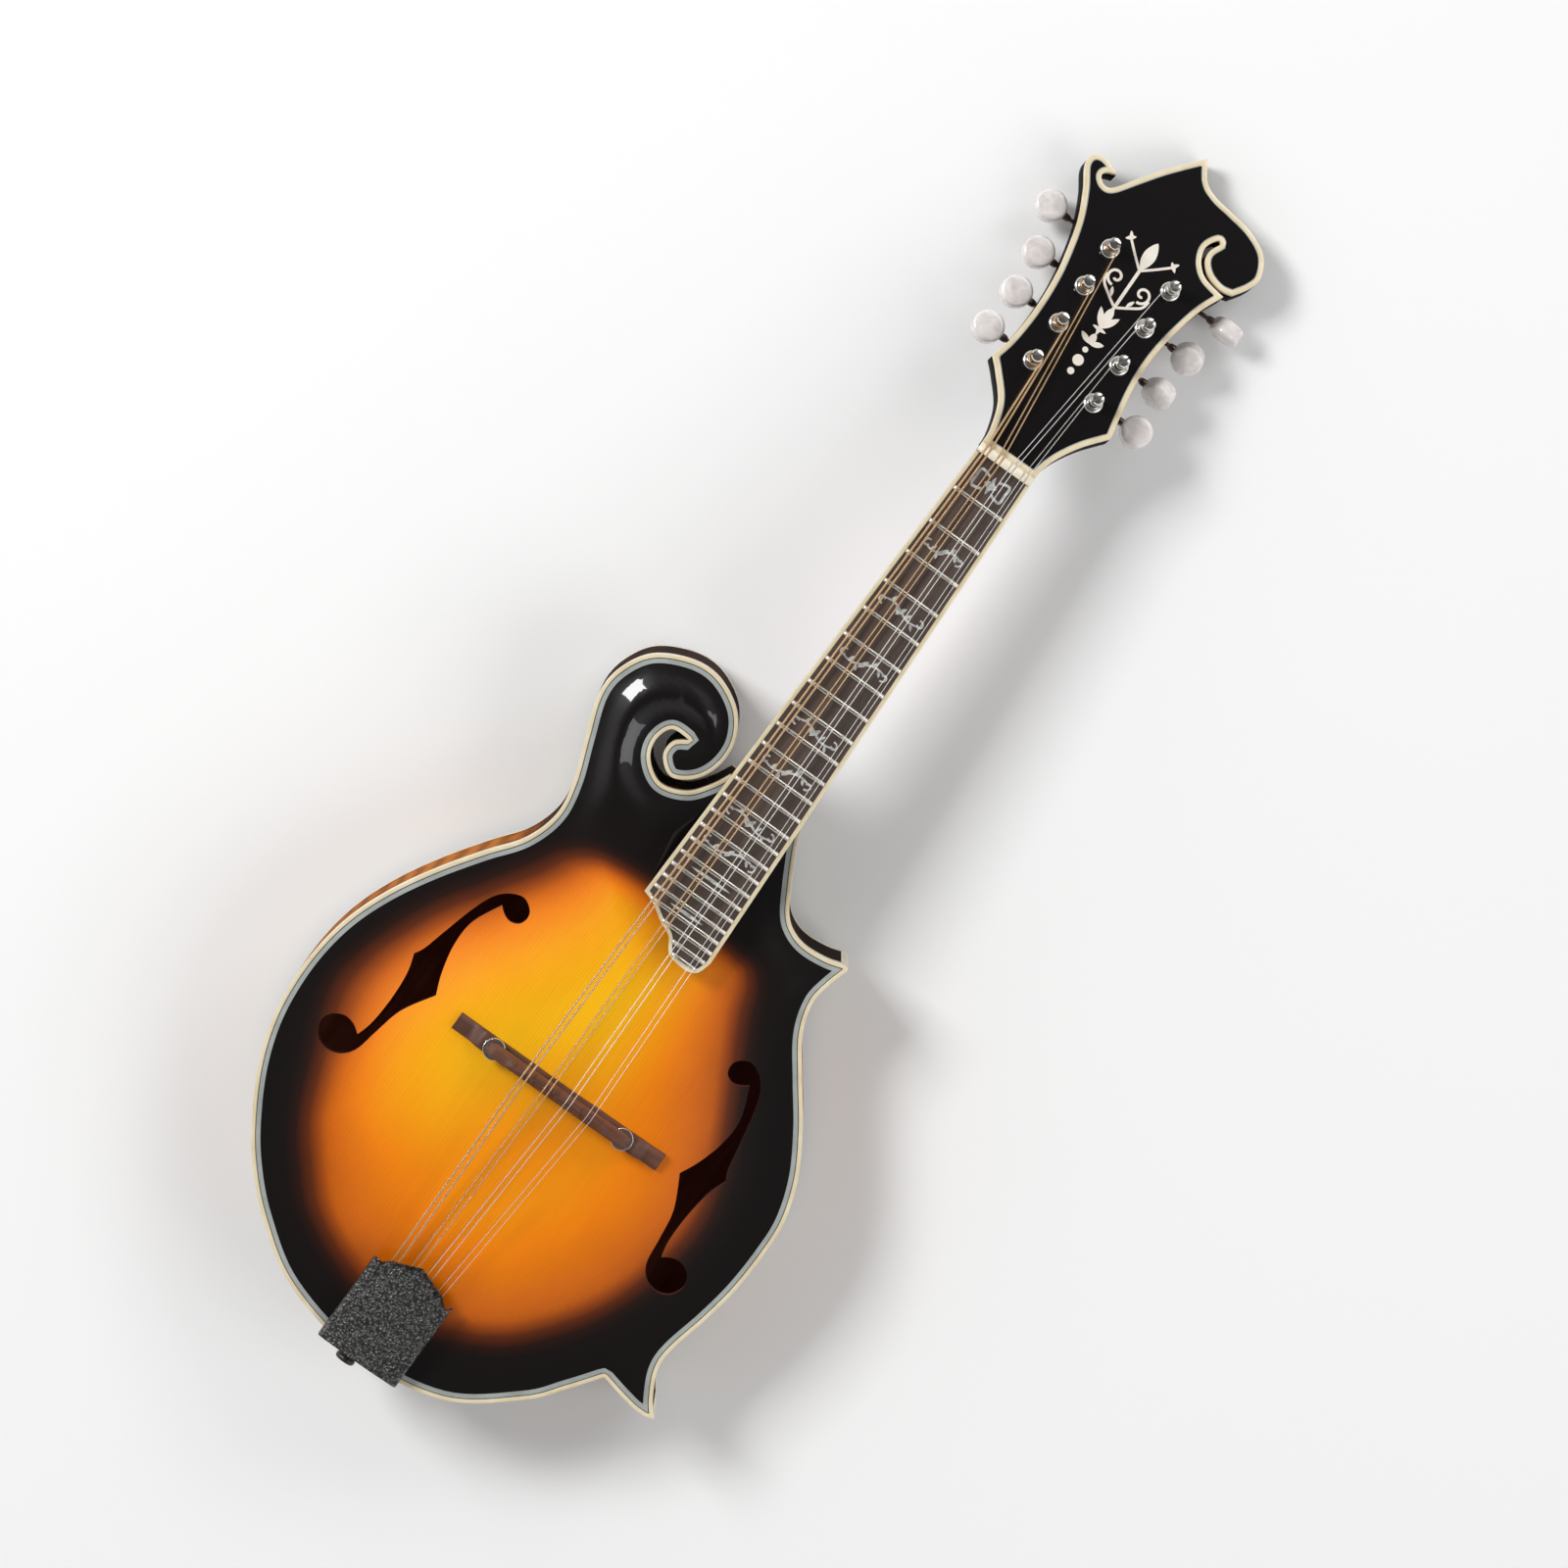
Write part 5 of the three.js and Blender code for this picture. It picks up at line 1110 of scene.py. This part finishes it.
def make_bridge():
    rings = []
    for x in np.linspace(-BRIDGE_HALF, BRIDGE_HALF, 93):
        share, half = abs(x) / BRIDGE_HALF, BRIDGE_HALF_DEPTH
        floor = top_z_at(x, 0) + 0.12 + (1.7 * smoothstep(-abs(x), -17, -11))
        end = top_z_at(BRIDGE_HALF, 0) + 3.0
        top = end + (BRIDGE_BASE_TOP_Z - end) * smoothstep(-share, -0.86, -0.74)
        top += 0.25 * smoothstep(-share, -1, -0.9)
        rings.append([(x, -half, floor), (x, half, floor), (x, half, top - 1.0), (x, half - 0.3, top - 0.3),
                      (x, half - 1.1, top), (x, 1.1 - half, top), (x, 0.3 - half, top - 0.3),
                      (x, -half, top - 1.0)])
    make_piece("bridge_base_carved", *loft(rings), "rosewood", replaces="bridge_base", crease=45)
    rings = []
    jumps = [[start - 0.05, start + 0.05] for start, _, _ in SADDLE_STEPS]
    for x in np.unique(np.concatenate([np.linspace(-SADDLE_HALF, SADDLE_HALF, 99)] + jumps)):
        shoulder = smoothstep(abs(x), 24, 29)
        top = SADDLE_TOP_Z - 1.2 * shoulder
        top -= 0.9 * smoothstep(abs(x), 35, SADDLE_HALF) * abs(x) / SADDLE_HALF
        low = SADDLE_LOW_Z + 1.6 * smoothstep(abs(x), SADDLE_HALF - 2, SADDLE_HALF)
        lean = next((y for start, end, y in SADDLE_STEPS if start <= x < end), 0.0)
        crest = 1.0 + 1.6 * shoulder
        base = 3.3 - 0.8 * smoothstep(abs(x), 36, SADDLE_HALF)
        rings.append([(x, -base, low), (x, base, low), (x, base, low + 3.0), (x, lean + crest, top - 0.4),
                      (x, lean + crest - 0.4, top), (x, lean - crest + 0.4, top),
                      (x, lean - crest, top - 0.4), (x, -base, low + 3.0)])
    make_piece("saddle_compensated", *loft(rings), "rosewood", body="saddle", replaces="bridge_saddle",
               crease=40)
    for side_name, side in (("bass", -1), ("treble", 1)):
        x = side * BRIDGE_POST_X
        teeth = 44
        turn = around(teeth * 4)
        radius = WHEEL_RADIUS - 0.22 * (np.floor(np.arange(teeth * 4) / 2) % 2)
        edge = np.stack([x + radius * np.cos(turn), radius * np.sin(turn)], axis=1)
        node = f"thumbwheel_{side_name}"
        mesh = prism(edge, *WHEEL_Z, (circle(x, 0, 2.05, 32),))
        bevel(make_piece(f"{node}_knurled", *mesh, "nickel", body=node, replaces=node), 0.12, 1)
        grooves = [(1.9 if k % 2 else 1.66, THREAD_LOW_Z + THREAD_STEP * k) for k in range(28)]
        thread = [(0, THREAD_LOW_Z - 0.05), *grooves, (0, THREAD_HIGH_Z)]
        make_piece(f"bridge_post_{side_name}_threaded", *moved(lathe(thread, 32), x), "nickel",
                   replaces=f"bridge_post_{side_name}")


make_bridge()


# ---- tailpiece and strap button ------------------------------------------------------------------

def make_tailpiece_cover():
    """One pressed sheet: a low dome across, side walls down, and a scalloped point in front."""
    x0, x1 = COVER_X
    middle, half = (x0 + x1) / 2, (x1 - x0) / 2

    def crown(u):
        return COVER_EDGE_Z + COVER_CROWN * (1 - (u / 0.9) ** 2)

    section = [(-1, COVER_SKIRT_Z), (-1, 0.6), (-0.992, 1.9), (-0.96, 2.7), (-0.9, COVER_EDGE_Z)]
    section += [(u, crown(u)) for u in np.linspace(-0.85, 0.85, 35)]
    section += [(-u, z) for u, z in section[:5][::-1]]
    section = [(middle + half * u, z) for u, z in section]
    narrower = (half - COVER_SHEET) / half
    inner = [(middle + (x - middle) * narrower, max(z - COVER_SHEET, COVER_SKIRT_Z)) for x, z in section]

    def front(x):
        a = abs(x - middle)
        scallop = 2.4 * abs(math.sin(math.pi * a / COVER_SCALLOP)) ** 0.7
        return COVER_FRONT_Y - 0.42 * a - scallop + (1.2 if a > 20.5 else 0)

    rows = 56
    rings = []
    for row in range(rows + 1):
        t = row / rows
        ring = []
        for x, z in section + inner[::-1]:
            wall = linear(z, COVER_SKIRT_Z, 0.6)
            reach = COVER_WALL_Y + (front(x) - COVER_WALL_Y) * wall
            ring.append((x, COVER_REAR_Y + t * (reach - COVER_REAR_Y), z))
        rings.append(ring)
    make_piece("tailpiece_cover_pressed", *loft([r[::-1] for r in rings]), "embossed",
               body="tailpiece_cover", replaces="tailpiece_cover", place=TAIL, crease=50)
    bead = [(x, front(x) - 1.3, crown((x - middle) / half))
            for x in np.linspace(middle - 0.86 * half, middle + 0.86 * half, 60)]
    make_piece("tailpiece_cover_bead", *tube(bead, 0.45, 8), "embossed", body="tailpiece_cover", place=TAIL)


def make_strap_button():
    profile = [(0, 0), (2.6, 0), (2.6, 14.2), (3.0, 14.6), (2.9, 16.6), (3.4, 18.2), (4.6, 19.4),
               (5.0, 20.4), (4.9, 21.4), (4.5, 21.95), (0, 22)]
    verts, faces = lathe(profile, 48, "y")
    verts = verts * [1, -1, 1] + STRAP_BUTTON_PLACE
    make_piece("strap_button_turned", verts, [f[::-1] for f in faces], "button_wood",
               replaces="strap_button")


make_tailpiece_cover()
make_strap_button()
keep_shape("tailpiece_base", "embossed")


# ---- tuning machines -----------------------------------------------------------------------------

def screw_head(x, y, z, up=1.0):
    profile = [(0, 0), (1.5, 0), (1.5, 0.25), (1.1, 0.7), (0.5, 0.9), (0, 0.95)]
    verts, faces = lathe(profile, 24)
    verts = verts * [1, 1, up]
    return moved((verts, faces if up > 0 else [f[::-1] for f in faces]), x, y, z)


def make_post(side_name, side, index, x, y):
    body = f"tuner_post_{side_name}_{index + 1}"
    top, high = POST_RISE, -HEAD_THICKNESS - 1.5
    profile = [(0, high - 0.2), (POST_RADIUS, high - 0.2), (POST_RADIUS, 4.4), (2.85, 5.0),
               (POST_WAIST, 5.8), (POST_WAIST, 8.2), (2.85, 9.0), (POST_RADIUS, 9.6),
               (POST_RADIUS, top - 0.7), (2.6, top - 0.15), (2.1, top), (0, top)]
    post = make_piece(f"{body}_turned", *moved(lathe(profile, 40), x, y), "nickel", body=body,
                      replaces=body, place=HEAD)
    angle = math.radians(20 if side < 0 else 65)
    bar = np.array([(-3.4, -0.5), (3.4, -0.5), (3.4, 0.5), (-3.4, 0.5)])
    slot = prism(turn_2d(bar, np.zeros(2), angle) + [x, y], top - 2.2, top + 1)
    cut_away(post, slot, HEAD)
    teeth = []
    for k in range(GEAR_TEETH * 6):
        phase = (k % 6) / 6
        radius = GEAR_RADIUS if phase < 0.34 else GEAR_ROOT
        turn = 2 * math.pi * k / (GEAR_TEETH * 6)
        teeth.append((x + radius * math.cos(turn), y + radius * math.sin(turn)))
    gear = make_piece(f"{body}_gear", *prism(np.array(teeth), high - 3.0, high), "plate", body=body,
                      place=HEAD)
    bevel(gear, 0.12, 1)
    screw = screw_head(x, y, high - 3.0, -1.0)
    make_piece(f"{body}_screw", *screw, "nickel", body=body, place=HEAD)
    ring = [(3.12, 0.0), (4.75, 0.0), (4.75, 0.55), (4.5, 1.0), (4.0, 1.35), (3.4, 1.4), (3.12, 1.2)]
    rings = [[(r * math.cos(a), r * math.sin(a), z) for r, z in ring]
             for a in around(48)]
    verts, faces = loft(rings, closed_ends=False)
    count = len(ring)
    faces += [(47 * count + j, 47 * count + (j + 1) % count, (j + 1) % count, j) for j in range(count)]
    make_piece(f"bushing_{side_name}_{index + 1}", *moved((verts, [f[::-1] for f in faces]), x, y, 0.0),
               "nickel", place=HEAD)


def cut_away(piece, mesh, place):
    """Cuts a closed mesh out of a piece."""
    cutter = link("cutter", mesh_of("cutter", *mesh, place))
    modifier = piece.modifiers.new("cut", "BOOLEAN")
    modifier.operation = "DIFFERENCE"
    modifier.object = cutter
    modifier.solver = "EXACT"
    apply_modifiers(piece)
    bpy.data.objects.remove(cutter)
    smooth(piece.data, 35)


def make_key(side_name, side, index, y):
    body = f"tuner_key_{side_name}_{index + 1}"
    knob_x = KNOB_X[index]
    turn = math.radians(KEY_TURNS[side_name][index])
    place = (HEAD @ Matrix.Translation((0, y + WORM_OFFSET, -WORM_DEPTH)) @ Matrix.Rotation(turn, 4, "X")
             @ Matrix.Rotation(0 if side > 0 else math.pi, 4, "Z"))
    r, h = KNOB_RADIUS, KNOB_HALF
    quarter = np.linspace(0.02, 1.56, 26)
    profile = [(0, -h)] + [(r * math.sin(a) ** 0.28, -h * math.cos(a) ** 0.3) for a in quarter]
    profile += [(radius, -height) for radius, height in profile[::-1]]
    verts, faces = lathe(profile, 44)
    squeeze = 1 - 0.06 * smoothstep(-verts[:, 0], 1, r)
    verts = verts * np.stack([np.ones(len(verts)), squeeze, squeeze], axis=1)
    make_piece(f"{body}_button", *moved((verts, faces), knob_x), "pearloid", body=body, replaces=body,
               place=place, crease=60)
    start = knob_x - r
    shaft = [(0, 11.0), (SHAFT_RADIUS, 11.0), (SHAFT_RADIUS, 13.0), (SHAFT_RADIUS - 0.05, 21.8),
             (SHAFT_RADIUS, 22.0), (SHAFT_RADIUS, start - 3.0), (1.6, start - 2.6), (1.9, start - 1.4),
             (1.9, start + 0.6), (0, start + 0.6)]
    make_piece(f"{body}_shaft", *lathe(shaft, 24, "x"), "shaft", body=body, replaces=body, place=place)
    turns = np.linspace(0, 2 * math.pi * 5, 120)
    helix = np.stack([np.linspace(13.5, 21.3, 120), 1.08 * np.cos(turns), 1.08 * np.sin(turns)], axis=1)
    make_piece(f"{body}_worm", *tube(helix, 0.32, 8), "nickel", body=body, place=place)


for side_name, side, index, x, y in tuner_places():
    make_post(side_name, side, index, x, y)
    make_key(side_name, side, index, y)
for side_name, side in (("bass", -1), ("treble", 1)):
    keep_shape(f"tuner_plate_{side_name}", "plate")
    low = -HEAD_THICKNESS - 1.2
    spots = [FIRST_POST_Y - 5.5] + [FIRST_POST_Y + POST_SPACING * k + 13.4 for k in range(3)]
    spots.append(FIRST_POST_Y + POST_SPACING * 3 + 10.6)
    screws = joined(*[screw_head(side * 17.4, y, low, -1.0) for y in spots])
    make_piece(f"tuner_plate_{side_name}_screws", *screws, "nickel", place=HEAD)


# ---- strings -------------------------------------------------------------------------------------

def string_places():
    for course, (name, tail, saddle, nut, radius, wound) in enumerate(COURSES):
        for half in (-1, 1):
            side = -1 if course < 2 else 1
            outer = 0 if course in (0, 3) else 2
            index = outer + (0 if half == side else 1)
            xs = (tail + half * PAIR_HALF_GAP[0], saddle + half * PAIR_HALF_GAP[1],
                  nut + half * PAIR_HALF_GAP[2])
            yield f"string_{name}{1 if half < 0 else 2}", xs, radius, wound, side, index


def make_strings():
    for name, (tail, saddle, nut), radius, wound, side, index in string_places():
        material = "bronze" if wound else "steel"
        at_saddle = np.array([saddle, 0, STRING_AT_SADDLE_Z + radius])
        at_nut = np.array([nut, SCALE_LENGTH + 2.5, STRING_AT_NUT_Z])
        at_tail = np.array([tail, TAILPIECE_Y - 2.8, TAILPIECE_Z - 0.4])
        share = np.linspace(0, 1, 25)[:, None]
        for part, end in (("behind_saddle", at_tail), ("playing", at_nut)):
            stretch = make_piece(f"{name}_{part}", *tube(end + (at_saddle - end) * share, radius), material,
                                 body=None, replaces=name)
            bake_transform(stretch)
        post = np.array([side * POST_X, FIRST_POST_Y + index * POST_SPACING, STRING_ON_POST])
        wrap = POST_WAIST + radius + 0.02
        touch = np.array(HEAD @ Vector(post - [side * wrap, 0, 0]))
        make_piece(f"{name}_at_head", *tube(at_nut + (touch - at_nut) * share, radius), material,
                   replaces=name)
        t = np.linspace(0, 1, 90)
        angle = (math.pi if side > 0 else 0) - side * 2 * math.pi * COIL_TURNS * t
        height = STRING_ON_POST - np.minimum(2.05 * radius * COIL_TURNS * t, 1.6)
        coil = np.stack([post[0] + wrap * np.cos(angle), post[1] + wrap * np.sin(angle), height], axis=1)
        make_piece(f"{name}_winding", *tube(coil, radius), material, body=post_body(side, index),
                   replaces=name, place=HEAD)


def post_body(side, index):
    return f"tuner_post_{'bass' if side < 0 else 'treble'}_{index + 1}"


make_strings()


# ---- floor, light and camera ---------------------------------------------------------------------

CAMERA_PLACE = Vector((-0.15, 0.43, 2.84))
CAMERA_FORWARD = Vector((0.0546, -0.0910, -0.9944))
CAMERA_RIGHT = Vector((0.8152, 0.5791, -0.0082))
SENSOR_WIDTH, LENS = 36.0, 139.31
FLOOR_HALF = 6000.0
LIGHT_TARGET = (0, 0.15, 0.05)
# Name, place, size and power in watts.
LIGHTS = [("key_light", (-2.5, 0.5, 2.5), (1.1, 1.1), 82), ("fill_light", (2.6, 0.6, 2.3), (2.0, 2.0), 30),
          ("back_light", (0.6, 3.0, 2.2), (1.8, 1.0), 18)]
# The world is bright up to the first height and fades to dark at the second. A height is the sine of the
# angle above the horizon.
SKY_HEIGHTS, SKY_STRENGTHS = (0.25, 0.85), (0.95, 0.08)


def make_floor():
    s = Surface("floor_paper", (0.9, 0.9, 0.9), roughness=0.9)
    s.color(s.mix(s.noise(3, 2), (0.90, 0.90, 0.90), (0.92, 0.92, 0.92)))
    size = FLOOR_HALF
    corners = [(-size, -size, 0), (size, -size, 0), (size, size, 0), (-size, size, 0)]
    floor = link("floor", mesh_of("floor", corners, [(0, 1, 2, 3)]))
    floor.data.materials.append(s.material)


def add_area_light(name, place, target, size, power):
    light = bpy.data.lights.new(name, "AREA")
    light.shape = "RECTANGLE"
    light.size, light.size_y = size
    light.energy = power
    lamp = link(name, light)
    lamp.location = place
    lamp.rotation_euler = (Vector(target) - Vector(place)).to_track_quat("-Z", "Y").to_euler()


def make_camera():
    camera_data = bpy.data.cameras.new("camera")
    camera_data.sensor_width = SENSOR_WIDTH
    camera_data.lens = LENS
    camera_data.clip_end = 50
    camera = link("camera", camera_data)
    back = -CAMERA_FORWARD.normalized()
    right = (CAMERA_RIGHT - back * CAMERA_RIGHT.dot(back)).normalized()
    up = back.cross(right)
    turn = Matrix((right, up, back)).transposed().to_4x4()
    camera.matrix_world = Matrix.Translation(CAMERA_PLACE) @ turn
    bpy.context.scene.camera = camera
    # Plain display colours: lit paper is white, and the stain keeps its saturation.
    bpy.context.scene.view_settings.view_transform = "Standard"


def make_world():
    """Dark overhead and bright at the horizon: gloss stays deep, and metal has something to reflect."""
    world = bpy.data.worlds.new("studio")
    world.use_nodes = True
    nodes, links = world.node_tree.nodes, world.node_tree.links
    direction = nodes.new("ShaderNodeTexCoord")
    parts = nodes.new("ShaderNodeSeparateXYZ")
    links.new(direction.outputs["Generated"], parts.inputs[0])
    shade = nodes.new("ShaderNodeMapRange")
    shade.inputs["From Min"].default_value, shade.inputs["From Max"].default_value = SKY_HEIGHTS
    shade.inputs["To Min"].default_value, shade.inputs["To Max"].default_value = SKY_STRENGTHS
    links.new(parts.outputs["Z"], shade.inputs["Value"])
    background = nodes["Background"]
    background.inputs["Color"].default_value = (1.0, 1.0, 1.0, 1)
    links.new(shade.outputs[0], background.inputs["Strength"])
    bpy.context.scene.world = world


make_floor()
make_world()
for light_name, light_place, light_size, light_power in LIGHTS:
    add_area_light(light_name, light_place, LIGHT_TARGET, light_size, light_power)
make_camera()
